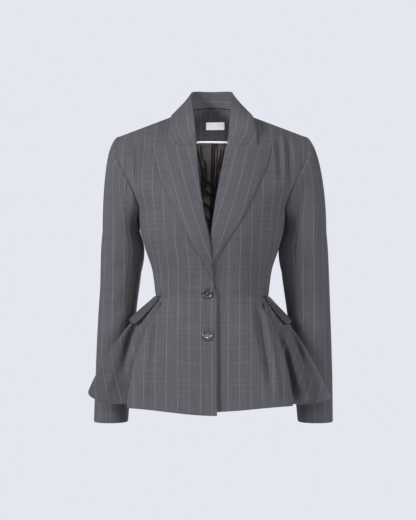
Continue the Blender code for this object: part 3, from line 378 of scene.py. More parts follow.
@dataclass
class Half:
    """What differs between the jacket's two sides, and the peplum's surface on that side."""

    name: str
    sign: int
    edge: float
    roll_rows: Pairs
    lapel_rows: Pairs
    folds: tuple[Fold, ...]
    sleeve: tuple[SleeveRow, ...]
    inset: float
    turn_start: float = 0.85
    hem_bow: float = 2.4
    hem_power: float = 5.0
    level_part: float = 0.3
    inset_depth: float = 5.5
    inset_across: Pair = (70.0, 55.0)
    inset_below: Pair = (-110.0, 60.0)
    turn_aim: float = 0.55
    narrowest: float = 8.0

    def __post_init__(self) -> None:
        """Turn the edge tables into curves."""
        self.roll = Curve([row[0] for row in self.roll_rows], [row[1] for row in self.roll_rows])
        self.lapel = Curve([row[0] for row in self.lapel_rows], [row[1] for row in self.lapel_rows])

    def left_inset(self, point: Vector) -> float:
        """How far the under front lies in behind the upper one."""
        across = smooth((self.inset_across[0] - point.x) / self.inset_across[1])
        below = smooth((self.inset_below[0] - point.z) / self.inset_below[1])
        return self.inset * self.inset_depth * across * below

    def front_hem_y(self, out: float, down: float) -> float:
        """Depth of the front below the waist, from the centre out to its fold."""
        centre, fold = self.folds[0].point(down), self.folds[FRONT_FOLD].point(down)
        return centre.y + (fold.y - centre.y) * (abs(out) / fold.x) ** self.hem_bow

    def front_low_point(self, part: float, down: float) -> Vector:
        """Point of the front below the waist, part 0 at its edge and 1 at its fold.

        Args:
            part: Part of the way across.
            down: Part of the way down.

        Returns:
            The point.
        """
        waist_fold = BODY.ring_point(self.folds[FRONT_FOLD].angle, BODY.waist_z)
        fold = self.folds[FRONT_FOLD].point(down)
        waist_out = mix(self.edge, waist_fold.x, part)
        out = mix(self.edge, fold.x, part)
        waist_y = BODY.ring_point(BODY.angle_at(waist_out, BODY.waist_z), BODY.waist_z).y
        hem_y = self.front_hem_y(out, down)
        y = mix(waist_y + hem_y - self.front_hem_y(waist_out, 0.0), hem_y, smooth(down / self.level_part))
        hem = mix(self.folds[0].hem_z, self.folds[FRONT_FOLD].hem_z, smooth(max(0.0, part)))
        return Vector((out, y, mix(BODY.waist_z, hem, down)))

    def front_turn(self, part: float, down: float) -> Vector:
        """Point of the front where it rounds into its fold.

        Args:
            part: Part of the way round the turn.
            down: Part of the way down.

        Returns:
            The point.
        """
        start = self.front_low_point(self.turn_start, down)
        end = self.peplum_point(FRONT_FOLD, down)
        aim = start.lerp(self.folds[FRONT_FOLD].point(down), self.turn_aim)
        turned = start.lerp(aim, part).lerp(aim.lerp(end, part), part)
        plain = self.front_low_point(mix(self.turn_start, 1.0, part), down)
        return plain.lerp(turned, smooth(down / self.level_part))

    def span(self, station: float) -> tuple[int, float]:
        """The station before a place on the peplum, and the part of the way to the next."""
        lower = int(min(max(math.floor(station), FRONT_FOLD), CENTRE_BACK - 1))
        return lower, station - lower

    def peplum_angle(self, station: float) -> float:
        """Place on the waist ring of a station of the peplum."""
        lower, part = self.span(station)
        return mix(self.folds[lower].angle, self.folds[lower + 1].angle, part)

    def peplum_point(self, station: float, down: float) -> Vector:
        """Point of the peplum; station 1 is the front fold and 8 the centre back, each turn rounded.

        Args:
            station: Place along the peplum.
            down: Part of the way down.

        Returns:
            The point.
        """
        near = min(max(int(round(station)), FRONT_FOLD), CENTRE_BACK)
        offset = station - near
        fold = self.folds[near]
        soft = fold.soft_in if offset < 0.0 else fold.soft_out
        here = self.corner(near, down)
        after = self.corner(min(near + 1, CENTRE_BACK), down)
        before = self.corner(near - 1, down)
        if soft == 0.0 or abs(offset) >= soft:
            point = here.lerp(before if offset < 0.0 else after, abs(offset))
        else:
            first, last = here.lerp(before, fold.soft_in), here.lerp(after, fold.soft_out)
            turn = 0.5 + 0.5 * offset / soft
            point = first.lerp(here, turn).lerp(here.lerp(last, turn), turn)
        lower, part = self.span(station)
        ring = BODY.ring_point(self.peplum_angle(station), BODY.waist_z)
        flat = BODY.ring_point(self.folds[lower].angle, BODY.waist_z).lerp(
            BODY.ring_point(self.folds[lower + 1].angle, BODY.waist_z), part)
        point.x += (ring.x - flat.x) * (1.0 - smooth(down / self.level_part))
        point.y += (ring.y - flat.y) * (1.0 - smooth(down / self.level_part))
        if lower == FRONT_VALLEY:
            part = part ** self.hem_power
        if lower == FLUTE:
            part = 1.0 - (1.0 - part) ** self.hem_power
        point.z = mix(BODY.waist_z, mix(self.folds[lower].hem_z, self.folds[lower + 1].hem_z, part), down)
        return point

    def corner(self, index: int, down: float) -> Vector:
        """The sharp corner of a station, before it is rounded."""
        if index < FRONT_FOLD:
            return self.front_low_point(self.turn_start, down)
        return self.folds[index].point(down)

    def seam_trim(self, station: int, down: float) -> float:
        """Half the seam gap as a part of the span that starts at a station."""
        wide = (self.folds[station + 1].point(down) - self.folds[station].point(down)).length
        return 0.5 * SEAM_GAP / max(self.narrowest, wide)


RIGHT = Half(
    name="right", sign=-1, edge=-10.0, inset=0.0,
    roll_rows=((-335, -10), (-298, -2), (-213, 6.8), (-165, 17), (-115, 25), (-65, 31),
               (0, 36), (40, 45), (72, 62)),
    lapel_rows=((-297, 0.5), (-272, 11), (-238, 30.7), (-204, 50.4), (-165, 70), (-116, 94.7),
                (-66, 114.8), (-7, 129.5)),
    folds=(
        Fold(0, 0, -135, -586, 0.3, 0, 0), Fold(61.7, 190, -105, -572, 0.83, 0.9, 0.25),
        Fold(68, 150, -42, -570, 0.4, 0.3, 0.14), Fold(90, 276, -50, -543, 0.45, 0.09, 0.09),
        Fold(112, 152, 2, -562, 0.2, 0.14, 0.35), Fold(126, 166, 66, -578, 0.4, 0.35, 0.35),
        Fold(146, 108, 88, -586, 0.3, 0.4, 0.4), Fold(161, 58, 124, -590, 0.3, 0.4, 0.4),
        Fold(180, 0, 119, -590, 0.3, 0, 0),
    ),
    sleeve=(
        SleeveRow(-616, 189, 264, 40, 90), SleeveRow(-530, 182, 261, 44, 95),
        SleeveRow(-448, 176, 258, 46, 100), SleeveRow(-366, 170, 253.5, 44, 106),
        SleeveRow(-313, 163, 249.5, 36, 112), SleeveRow(-233, 151.5, 246.5, 22, 119),
        SleeveRow(-190, 161.5, 242.5, 16, 121),
    ),
)
LEFT = Half(
    name="left", sign=1, edge=-32.0, inset=1.0,
    roll_rows=((-335, -32), (-298, -25), (-214, -3.7), (-165, 3), (-115, 11), (-74, 18.6),
               (0, 33.5), (40, 45), (72, 62)),
    lapel_rows=((-288, -18), (-263, 2.7), (-236, 18.3), (-204, 38.2), (-175, 57.5), (-137, 77.4),
                (-95, 97.4), (-50, 117.2), (-8, 129)),
    folds=(
        Fold(0, 0, -131, -580, 0.3, 0, 0), Fold(61.7, 180, -103, -568, 0.75, 0.9, 0.25),
        Fold(68, 146, -40, -570, 0.4, 0.3, 0.14), Fold(90, 265, -50, -553, 0.3, 0.09, 0.09),
        Fold(112, 150, 2, -566, 0.2, 0.14, 0.35), Fold(126, 162, 68, -578, 0.4, 0.35, 0.35),
        Fold(146, 112, 90, -586, 0.3, 0.4, 0.4), Fold(161, 60, 122, -590, 0.3, 0.4, 0.4),
        Fold(180, 0, 119, -590, 0.3, 0, 0),
    ),
    sleeve=(
        SleeveRow(-616, 193, 270, 40, 90), SleeveRow(-530, 185, 269.5, 44, 95),
        SleeveRow(-448, 177.5, 267.5, 46, 100), SleeveRow(-366, 168.5, 264.5, 44, 106),
        SleeveRow(-313, 160.5, 262, 36, 112), SleeveRow(-233, 149, 257.5, 22, 119),
        SleeveRow(-190, 160.5, 253.5, 16, 121),
    ),
)


class Slot(Enum):
    """The record's material slots."""

    WOOL = "wool"
    LINING = "lining"
    SATIN = "satin"
    BUTTON = "button"


class Hold(Enum):
    """How a sheet of cloth is held."""

    HUNG = "hung"
    DRAPED = "draped"
    FOLDED = "folded"


class Signal:
    """A shader socket whose value takes part in Python expressions."""

    def __init__(self, graph: "Graph", socket: Socket) -> None:
        """Wrap a socket.

        Args:
            graph: The material the socket belongs to.
            socket: An output socket.
        """
        self.graph = graph
        self.socket = socket

    def math(self, operation: str, *values: "float | Signal") -> "Signal":
        """A Math node of this value and others."""
        inputs = dict(enumerate((self, *values)))
        made = self.graph.node("ShaderNodeMath", {"operation": operation}, inputs)
        return Signal(self.graph, made.outputs[0])

    def __add__(self, other: "float | Signal") -> "Signal":
        """Sum."""
        return self.math("ADD", other)

    __radd__ = __add__

    def __sub__(self, other: "float | Signal") -> "Signal":
        """Difference."""
        return self.math("SUBTRACT", other)

    def __rsub__(self, other: float) -> "Signal":
        """Difference from a number."""
        return self.math("MULTIPLY", -1.0).math("ADD", other)

    def __mul__(self, other: "float | Signal") -> "Signal":
        """Product."""
        return self.math("MULTIPLY", other)

    __rmul__ = __mul__

    def __truediv__(self, other: "float | Signal") -> "Signal":
        """Quotient."""
        return self.math("DIVIDE", other)

    def __abs__(self) -> "Signal":
        """Size without sign."""
        return self.math("ABSOLUTE")

    def wave(self, length: float) -> "Signal":
        """A sine of this value with the given wave length, from -1 to 1."""
        return (self * (2.0 * math.pi / length)).math("SINE")

    def stripe(self, spacing: float, phase: float, half_width: float, core: float = 0.45) -> "Signal":
        """Soft lines at an even spacing.

        Args:
            spacing: From line to line.
            phase: Place of one line.
            half_width: From the middle of a line to where it has faded.
            core: The part of that width that is full.

        Returns:
            1 in the middle of a line and 0 between lines.
        """
        along = (self - phase) / spacing + 0.5
        away = abs(along.math("FRACT") - 0.5) * spacing
        faded = self.graph.node(
            "ShaderNodeMapRange", {"interpolation_type": "SMOOTHSTEP"},
            {"Value": away, "From Min": core * half_width, "From Max": half_width,
             "To Min": 1.0, "To Max": 0.0})
        return Signal(self.graph, faded.outputs["Result"])


class Graph:
    """A material and its nodes."""

    def __init__(self, name: str) -> None:
        """Start a material with one Principled shader."""
        self.material = bpy.data.materials.new(name)
        self.material.use_nodes = True
        self.tree = self.material.node_tree
        self.shader = self.tree.nodes["Principled BSDF"]

    def node(self, kind: str, settings: Optional[dict] = None, values: Optional[dict] = None) -> bpy.types.Node:
        """Add a node.

        Args:
            kind: The node's type.
            settings: Its properties, set first.
            values: Numbers or links of its sockets.

        Returns:
            The node.
        """
        made = self.tree.nodes.new(kind)
        for key, value in (settings or {}).items():
            setattr(made, key, value)
        for key, value in (values or {}).items():
            self.feed(made.inputs[key], value)
        return made

    def feed(self, socket: Socket, value: object) -> None:
        """Link a signal or socket, or set a number, on an input socket.

        Args:
            socket: An input socket.
            value: The signal, socket, number or colour.
        """
        if isinstance(value, Signal):
            self.tree.links.new(value.socket, socket)
        elif isinstance(value, Socket):
            self.tree.links.new(value, socket)
        else:
            socket.default_value = value

    def set(self, **values: object) -> None:
        """Feed the shader's sockets, named in small letters with low lines for spaces."""
        sockets = {socket.name.lower().replace(" ", "_"): socket for socket in self.shader.inputs}
        for key, value in values.items():
            self.feed(sockets[key], value)

    def cloth_uv(self) -> tuple[Signal, Signal]:
        """The cut's own two coordinates, in metres.

        Returns:
            Across the cloth and along it.
        """
        uv = self.node("ShaderNodeUVMap", {"uv_map": UV_NAME}).outputs["UV"]
        parts = self.node("ShaderNodeSeparateXYZ", values={0: uv})
        return Signal(self, parts.outputs["X"]), Signal(self, parts.outputs["Y"])

    def noise(self, across: Signal, along: Signal, scale: Pair, detail: float = 2.0) -> Signal:
        """Smooth noise around 0 on the cut, with its own scale each way.

        Args:
            across: First coordinate.
            along: Second coordinate.
            scale: Waves to the metre each way.
            detail: How many finer layers.

        Returns:
            The noise.
        """
        vector = self.node("ShaderNodeCombineXYZ", values={"X": across * scale[0], "Y": along * scale[1]})
        made = self.node("ShaderNodeTexNoise", values={
            "Vector": vector.outputs[0], "Scale": 1.0, "Detail": detail})
        return Signal(self, made.outputs["Fac"]) - 0.5

    def blend(self, factor: Signal, first: object, second: object) -> Socket:
        """A colour that lies between two by a factor."""
        made = self.node("ShaderNodeMix", {"data_type": "RGBA"}, {0: factor, 6: first, 7: second})
        return made.outputs[2]

    def scaled(self, colour: object, factor: Signal) -> Socket:
        """A colour made lighter or darker by a factor."""
        made = self.node("ShaderNodeVectorMath", {"operation": "SCALE"}, {0: colour, "Scale": factor})
        return made.outputs[0]

    def bump(self, height: Signal, distance: float, strength: float) -> Socket:
        """A normal that a height in parts of a distance has roughened."""
        made = self.node("ShaderNodeBump", values={
            "Height": height, "Distance": distance, "Strength": strength})
        return made.outputs["Normal"]


@dataclass(frozen=True)
class Pinstripe:
    """Worsted wool with a fine pinstripe, a soft slub both ways and a twill weave."""

    name: str = "wool_pinstripe"
    ground: Triple = (0.0515, 0.0495, 0.0570)
    stripe: Triple = (0.104, 0.100, 0.108)
    spacing: float = 0.0244
    phase: float = 0.0
    half_width: float = 0.00085
    stripe_share: float = 0.9
    twill: float = 0.0011
    slub: float = 0.56
    cross_slub: float = 0.50
    grain: float = 0.90
    cloud: float = 0.14
    slub_scale: Pair = (300.0, 12.0)
    cross_scale: Pair = (12.0, 300.0)
    grain_scale: Pair = (520.0, 520.0)
    cloud_scale: Pair = (26.0, 18.0)
    break_scale: Pair = (60.0, 120.0)
    pin: float = 0.0021
    roughness: float = 0.86
    nap_depth: float = 0.0004
    nap_strength: float = 0.45
    sheen: float = 0.03
    specular: float = 0.22

    def material(self) -> Material:
        """Make the cloth's material.

        Returns:
            The material.
        """
        graph = Graph(self.name)
        across, along = graph.cloth_uv()
        slubs = graph.noise(across, along, self.slub_scale) * self.slub
        picks = graph.noise(across, along, self.cross_scale) * self.cross_slub
        clouds = graph.noise(across, along, self.cloud_scale) * self.cloud
        grains = graph.noise(across, along, self.grain_scale) * self.grain
        shade = slubs + picks + clouds + grains + 1.0
        twill = (across + along).wave(self.twill)
        pins = along.wave(self.pin) * 0.16 + 0.84
        broken = graph.noise(across, along, self.break_scale) * 1.4 + 0.95
        mask = across.stripe(self.spacing, self.phase, self.half_width) * pins * broken * self.stripe_share
        ground = graph.scaled((*self.ground,), shade + twill * 0.03)
        colour = graph.blend(mask, ground, (*self.stripe, 1.0))
        nap = twill * 0.35 + slubs * 1.6 + picks * 1.6 + mask * 0.3
        graph.set(base_color=colour, roughness=slubs * 0.12 + self.roughness,
                  normal=graph.bump(nap, self.nap_depth, self.nap_strength))
        graph.set(sheen_weight=self.sheen, sheen_roughness=0.45, specular_ior_level=self.specular)
        graph.shader.inputs["Sheen Tint"].default_value = (0.85, 0.85, 0.92, 1.0)
        return graph.material


@dataclass(frozen=True)
class SatinLining:
    """Dark smooth lining with a faint warm cast."""

    name: str = "lining_satin"
    colour: Triple = (0.016, 0.014, 0.0155)
    warm: Triple = (0.026, 0.018, 0.019)
    roughness: float = 0.40
    specular: float = 0.28
    twill: float = 0.0007

    def material(self) -> Material:
        """Make the lining's material.

        Returns:
            The material.
        """
        graph = Graph(self.name)
        across, along = graph.cloth_uv()
        threads = graph.noise(across, along, (900.0, 60.0))
        clouds = graph.noise(across, along, (40.0, 12.0))
        warm = graph.blend(clouds * 1.4 + 0.4, (*self.colour, 1.0), (*self.warm, 1.0))
        graph.set(base_color=graph.scaled(warm, threads * 0.3 + 1.0), roughness=threads * 0.1 + self.roughness,
                  normal=graph.bump(threads + (across + along).wave(self.twill) * 0.3, 0.0002, 0.3))
        graph.set(specular_ior_level=self.specular)
        return graph.material


@dataclass(frozen=True)
class WhiteSatin:
    """Close white satin weave of the label and the piping."""

    name: str = "white_satin"
    colour: Triple = (0.93, 0.94, 0.96)
    rib: float = 0.0009

    def material(self) -> Material:
        """Make the satin's material.

        Returns:
            The material.
        """
        graph = Graph(self.name)
        across, along = graph.cloth_uv()
        ribs = along.wave(self.rib)
        threads = graph.noise(across, along, (1200.0, 200.0))
        graph.set(base_color=graph.scaled((*self.colour,), threads * 0.1 + ribs * 0.02 + 1.0),
                  roughness=threads * 0.1 + 0.45, normal=graph.bump(ribs * 0.5 + threads, 0.0002, 0.3))
        return graph.material


@dataclass(frozen=True)
class Horn:
    """Dark horn-like button with a faint streaked grain."""

    name: str = "horn_dark"
    colour: Triple = (0.009, 0.009, 0.011)
    grain: Triple = (0.024, 0.024, 0.027)
    gloss: float = 0.25
    specular: float = 0.55

    def material(self) -> Material:
        """Make the button's material.

        Returns:
            The material.
        """
        graph = Graph(self.name)
        place = graph.node("ShaderNodeTexCoord").outputs["Object"]
        streaks = graph.node("ShaderNodeTexNoise", values={"Vector": place, "Scale": 260.0, "Detail": 3.0,
                                                           "Distortion": 1.2})
        streak = Signal(graph, streaks.outputs["Fac"])
        graph.set(base_color=graph.blend(streak * 1.6 - 0.4, (*self.colour, 1.0), (*self.grain, 1.0)),
                  roughness=streak * 0.2 + 0.24, normal=graph.bump(streak, 0.0001, 0.15))
        graph.set(coat_weight=self.gloss, specular_ior_level=self.specular)
        return graph.material


@dataclass(frozen=True)
class Thread:
    """Twisted dark sewing thread."""

    name: str = "button_thread"
    colour: Triple = (0.085, 0.083, 0.092)
    twist: float = 0.0005

    def material(self) -> Material:
        """Make the thread's material.

        Returns:
            The material.
        """
        graph = Graph(self.name)
        place = graph.node("ShaderNodeTexCoord").outputs["Object"]
        parts = graph.node("ShaderNodeSeparateXYZ", values={0: place})
        twist = (Signal(graph, parts.outputs["X"]) + Signal(graph, parts.outputs["Z"])).wave(self.twist)
        graph.set(base_color=graph.scaled((*self.colour,), twist * 0.2 + 1.0), roughness=0.7,
                  normal=graph.bump(twist, 0.0001, 0.4))
        return graph.material


def mesh_of(made: bmesh.types.BMesh, name: str) -> bpy.types.Mesh:
    """Write a finished bmesh to a mesh, and free it.

    Args:
        made: The bmesh.
        name: Name of the mesh.

    Returns:
        The mesh.
    """
    data = bpy.data.meshes.new(name)
    made.to_mesh(data)
    made.free()
    return data


def stood(name: str, data: bpy.types.ID) -> bpy.types.Object:
    """Put an object that carries some data in the scene.

    Args:
        name: Name of the object.
        data: Its mesh, light or camera.

    Returns:
        The object.
    """
    thing = bpy.data.objects.new(name, data)
    bpy.context.scene.collection.objects.link(thing)
    return thing


class Cloth:
    """One cloth piece in the making: its grids, its cut, its creases and its turned-in edges."""

    def __init__(self, name: str, sign: int, heart: Callable[[Vector], Vector]) -> None:
        """Start a piece.

        Args:
            name: Name of the piece.
            sign: -1 where the half shape is mirrored to the wearer's right.
            heart: For a point of the piece, the point inside that its outer side looks away from.
        """
        self.name = name
        self.sign = sign
        self.heart = heart
        self.mesh = bmesh.new()
        self.uv = self.mesh.loops.layers.uv.new(UV_NAME)
        self.lifts: dict = {}
        self.width = 0.0
        self.length = 0.0

    def grid(self, across: Sequence[float], along: Sequence[float], place: Callable[[float, float], Vector],
             cut: Callable, lift: Optional[Callable] = None) -> None:
        """Add a grid of the piece.

        Args:
            across: First values of the place, a column each.
            along: Second values of the place, a row each.
            place: Point of the half shape for two values.
            cut: For the points, gives the cut's two coordinates of a column and row, for faces of a column.
            lift: How far the cloth stands off at two values and their point, in millimetres.
        """
        columns, rows = len(across) - 1, len(along) - 1
        points = [[place(first, second) for second in along] for first in across]
        made = bmesh.ops.create_grid(self.mesh, x_segments=columns, y_segments=rows, size=0.5)["verts"]
        where = {}
        for vert in made:
            i, j = round((vert.co.x + 0.5) * columns), round((vert.co.y + 0.5) * rows)
            where[vert] = (i, j)
            point = points[i][j]
            vert.co = Vector((self.sign * point.x, point.y, point.z)) * MM
            if lift:
                self.lifts[vert] = lift(across[i], along[j], point)
        laid = cut(points)
        faces = {face for vert in made for face in vert.link_faces}
        outward = 0.0
        for face in faces:
            face.smooth = True
            face.normal_update()
            centre = face.calc_center_median() / MM
            half_centre = Vector((self.sign * centre.x, centre.y, centre.z))
            away = half_centre - self.heart(half_centre)
            away.x *= self.sign
            outward += face.normal.dot(away.normalized()) * face.calc_area()
            column = min(where[loop.vert][0] for loop in face.loops)
            for loop in face.loops:
                loop[self.uv].uv = Vector(laid(*where[loop.vert], column)) * MM
        if outward < 0.0:
            bmesh.ops.reverse_faces(self.mesh, faces=list(faces))
        self.width = max(self.width, *(path_length([points[i][j] for i in range(columns + 1)])
                                       for j in range(rows + 1)))
        self.length += max(path_length(column) for column in points)

    def turn_in(self, depth: float, reach: float) -> None:
        """Round the piece's edges inwards, as pressed seams and hems are.

        Args:
            depth: How far the edge itself goes in, in millimetres.
            reach: How far from the edge the rounding starts, in millimetres.
        """
        rim = [vert for vert in self.mesh.verts if vert.is_boundary]
        tree = KDTree(len(rim))
        for index, vert in enumerate(rim):
            tree.insert(vert.co, index)
        tree.balance()
        for vert in self.mesh.verts:
            away = tree.find(vert.co)[2] / MM
            if away < reach:
                self.lifts[vert] = self.lifts.get(vert, 0.0) - depth * (1.0 - away / reach) ** 2

    def finish(self, looks: Material, slot: Slot, hold: Hold, rests_on: Sequence[str], wall: float = WALL,
               turned: float = 0.6, node: Optional[str] = None, trim_of: Optional[str] = None,
               with_pieces: Sequence[str] = ()) -> bpy.types.Object:
        """Close the piece: merge, crease, give it its wall, material, body and cut.

        Args:
            looks: Its material.
            slot: The record's slot; not used.
            hold: How the cloth is held; not used.
            rests_on: What it lies on or hangs from; not used.
            wall: Thickness in millimetres.
            turned: How far its edges turn in, in millimetres.
            node: The CAD node it stands for, or its own name without the word for its cloth.
            with_pieces: Narrow trims that go with this sheet; not used.

        Returns:
            The piece.
        """
        bmesh.ops.remove_doubles(self.mesh, verts=self.mesh.verts, dist=0.00002)
        self.mesh.normal_update()
        if turned:
            self.turn_in(turned, 4.0)
        for vert in self.mesh.verts:
            vert.co += vert.normal * self.lifts.get(vert, 0.0) * MM
        area = sum(face.calc_area() for face in self.mesh.faces)
        data = mesh_of(self.mesh, self.name)
        piece = stood(self.name, data)
        shell = piece.modifiers.new("wall", "SOLIDIFY")
        shell.thickness = wall * MM
        shell.offset = 0.0
        data.materials.append(looks)
        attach(piece, "root")
        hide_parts(node or self.name.replace("cloth_", ""))
        flat = (round(self.width * MM, 4), round(self.length * MM, 4))
        LOG.info("%s: cut %.3f by %.3f m, %.4f square metres, %d points",
                 self.name, *flat, area, len(data.vertices))
        return piece


def path_length(points: Sequence[Vector]) -> float:
    """Length of a line through points."""
    return sum((second - first).length for first, second in zip(points, points[1:]))


def cut_across(start: Callable[[Vector, int], float], base: int = 0,
               jump: Optional[Callable[[int, Vector], float]] = None) -> Callable:
    """A cut whose first coordinate follows the cloth across and whose second is the height.

    Args:
        start: First coordinate of the base column at a point and row.
        base: The column it is measured from.
        jump: What faces of a column add at a point, as where a dart takes cloth away.

    Returns:
        A function for Cloth.grid.
    """
    def lay(points: Points) -> Callable:
        """Lay out a grid.

        Args:
            points: Its points, a list for each column.

        Returns:
            The cut's coordinates of a column and row, for faces of a column.
        """
        base_column = base % len(points)
        reach = []
        for j in range(len(points[0])):
            along = [0.0]
            for i in range(1, len(points)):
                along.append(along[-1] + (points[i][j] - points[i - 1][j]).length)
            reach.append([value - along[base_column] + start(points[base_column][j], j) for value in along])

        def at(i: int, j: int, column: int) -> Pair:
            """Coordinates of one corner of a face."""
            extra = jump(column, points[i][j]) if jump else 0.0
            return reach[j][i] + extra, points[i][j].z

        return at

    return lay


def cut_along(start: float = 0.0) -> Callable:
    """A cut for tubes and collars: both coordinates follow the cloth.

    Args:
        start: First coordinate of the first column.

    Returns:
        A function for Cloth.grid.
    """
    def lay(points: Points) -> Callable:
        """Lay out a grid.

        Args:
            points: Its points, a list for each column.

        Returns:
            The cut's coordinates of a column and row, for faces of a column.
        """
        across, down = [], [[0.0] * len(points[0]) for _ in points]
        for j in range(len(points[0])):
            row = [start]
            for i in range(1, len(points)):
                row.append(row[-1] + (points[i][j] - points[i - 1][j]).length)
            across.append(row)
        for i, column in enumerate(points):
            for j in range(1, len(column)):
                down[i][j] = down[i][j - 1] + (column[j] - column[j - 1]).length
        return lambda i, j, column: (across[j][i], down[i][j])

    return lay


@dataclass
class FrontPanel:
    """A front: shoulder to hem, with its bust dart, its chest folds and the leg behind its fold."""

    half: Half
    creases: tuple[Crease, ...]
    lean: Pairs
    side_angle: float = 72.0
    last_station: float = 2.2
    dart_tip: float = 0.80
    dart_tip_row: float = 5.2
    dart_depth: float = 2.2
    dart_width: float = 1.7
    dart_take: float = 15.0
    hollow: float = 11.0
    hollow_end: float = 0.62
    waist_fill: float = 1.8
    waist_soft: float = 26.0
    waist_reach: float = 112.0
    waist_ease: float = 40.0
    dart_span: float = 165.0
    dart_height: float = 165.0
    dart_fade: float = 0.9
    behind_fold: float = 0.3
    hollow_start: float = 1.02
    hollow_ease: float = 0.35
    hollow_top: float = 0.06
    hollow_fade: float = 0.25

    def __post_init__(self) -> None:
        """Work out where the dart meets the waist."""
        self.first_angle = BODY.angle_at(self.half.edge, BODY.waist_z)
        self.last_angle = self.side_angle - seam_angle()
        self.fold_angle = self.half.folds[FRONT_FOLD].angle
        self.dart = (self.fold_angle - self.first_angle) / (self.last_angle - self.first_angle)
        self.lean_at = Curve([row[0] for row in self.lean], [row[1] for row in self.lean])

    def warped(self, share: float, row: float) -> float:
        """Share of the panel's width once the dart's line has moved in towards the bust.

        Args:
            share: Place across.
            row: Place up.

        Returns:
            The moved share.
        """
        dart = mix(self.dart, self.dart_tip, smooth(row / self.dart_tip_row))
        if share <= self.dart:
            return share * dart / self.dart
        return dart + (share - self.dart) * (1.0 - dart) / (1.0 - self.dart)

    def high_point(self, share: float, row: float) -> Vector:
        """Point above the waist: share from the front edge (0) to the side seam (1), rows from the waist.

        Args:
            share: Place across.
            row: Place up.

        Returns:
            The point.
        """
        share = self.warped(share, row)
        if row <= BODY.waist_rows:
            z = mix(BODY.waist_z, BODY.armpit_z, row / BODY.waist_rows)
            first = BODY.angle_at(self.half.roll(z), z)
            point = BODY.ring_point(mix(first, self.last_angle, share), z)
        else:
            climb = BODY.climb(row)
            first_z = mix(BODY.armpit_z, BODY.neck_point[1], climb)
            last_z = mix(BODY.armpit_z, BODY.shoulder_tip[1], climb)
            base_first = self.half.roll(BODY.armpit_z)
            base_angle = mix(BODY.angle_at(base_first, BODY.armpit_z), self.last_angle, share)
            base = BODY.ring_point(base_angle, BODY.armpit_z).x
            base_last = BODY.ring_point(self.last_angle, BODY.armpit_z).x
            across = (base - base_first) / (base_last - base_first)
            out = mix(self.half.roll(first_z), BODY.armhole_out(last_z), across)
            z = mix(first_z, last_z, across) - (0.5 * SEAM_GAP if climb >= 1.0 else 0.0)
            point = BODY.front_point(out, z)
        point.y += self.half.left_inset(point)
        return point

    def low_point(self, share: float, down: float) -> Vector:
        """Point below the waist: share as above up to the fold, then 1 and on for the stations of the leg.

        Args:
            share: Place across.
            down: Part of the way to the hem.

        Returns:
            The point.
        """
        if share <= self.dart and down == 0.0:
            return self.high_point(share, 0.0)
        if share <= self.dart:
            angle = mix(self.first_angle, self.last_angle, share)
            waist_out = BODY.ring_point(angle, BODY.waist_z).x
            fold_out = BODY.ring_point(self.fold_angle, BODY.waist_z).x
            part = (waist_out - self.half.edge) / (fold_out - self.half.edge)
            turn = self.half.turn_start
            if part <= turn:
                point = self.half.front_low_point(part, down)
            else:
                point = self.half.front_turn((part - turn) / (1.0 - turn), down)
        else:
            trim = self.half.seam_trim(FRONT_VALLEY, down) if share == self.last_station else 0.0
            point = self.half.peplum_point(share - trim, down)
            point.z -= seam_drop(down)
        point.y += self.half.left_inset(point)
        return point

    def high_lift(self, share: float, row: float, point: Vector) -> float:
        """Dart groove and soft folds above the waist.

        Args:
            share: Place across.
            row: Place up.
            point: Its point.

        Returns:
            The lift.
        """
        aside = (share - self.dart) * self.dart_span
        tip = smooth((self.dart_tip_row - row) / self.dart_fade)
        groove = -self.dart_depth * math.exp(-(aside / self.dart_width) ** 2) * tip
        return groove + self.creased(point)

    def low_lift(self, share: float, down: float, point: Vector) -> float:
        """Soft folds below the waist, and the hollow behind the front fold.

        Args:
            share: Place across.
            down: Part of the way to the hem.
            point: Its point.

        Returns:
            The lift.
        """
        front = self.creased(point) * (1.0 - smooth((share - self.dart) / self.behind_fold))
        across = smooth((share - self.hollow_start) / self.hollow_ease)
        across *= smooth((self.last_station - share) / self.hollow_ease)
        ends = smooth(down / self.hollow_top), smooth((self.hollow_end - down) / self.hollow_fade)
        return front - self.hollow * across * ends[0] * ends[1]

    def creased(self, point: Vector) -> float:
        """Sum of the front's creases at a point, with the waist filled out to a soft bend.

        Args:
            point: The point.

        Returns:
            The lift.
        """
        gap = abs(point.z - BODY.waist_z)
        fill = (math.hypot(gap, self.waist_soft) - gap) / self.waist_soft * self.waist_fill
        return all_creases(self.creases, point.x, point.z) + fill * smooth(
            (self.waist_reach - point.x) / self.waist_ease)

    def build(self, looks: Material) -> None:
        """Make the front.

        Args:
            looks: The wool.
        """
        cloth = Cloth(f"cloth_front_{self.half.name}", self.half.sign, lambda p: Vector((p.x * 0.5, 20.0, p.z)))
        before = crowded(spread(0.0, self.dart, 40))
        after = crowded(spread(self.dart, 1.0, 8))
        heights = crowded(spread(0.0, 6.0, 34)[:-1] + spread(6.0, 15.0, 46), (False, True))

        def jump(column: int, point: Vector) -> float:
            """What the dart has taken away between the front and the side at one height."""
            rise = (point.z - BODY.waist_z) / self.dart_height
            return self.dart_take * smooth(1.0 - rise) if column >= len(before) - 1 else 0.0

        cloth.grid(before + after[1:], heights, self.high_point,
                   cut_across(lambda point, j: point.x + self.lean_at(point.z), jump=jump), self.high_lift)
        leg = crowded(spread(1.0, self.last_station, 18)[1:], (False, True))
        downs = crowded(spread(0.0, 1.0, 42), (False, True))
        cloth.grid(before + leg, downs, self.low_point,
                   cut_across(lambda point, j: point.x + self.lean_at(point.z)), self.low_lift)
        cloth.finish(looks, Slot.WOOL, Hold.HUNG, [f"back_{self.half.name}", f"side_body_{self.half.name}"])


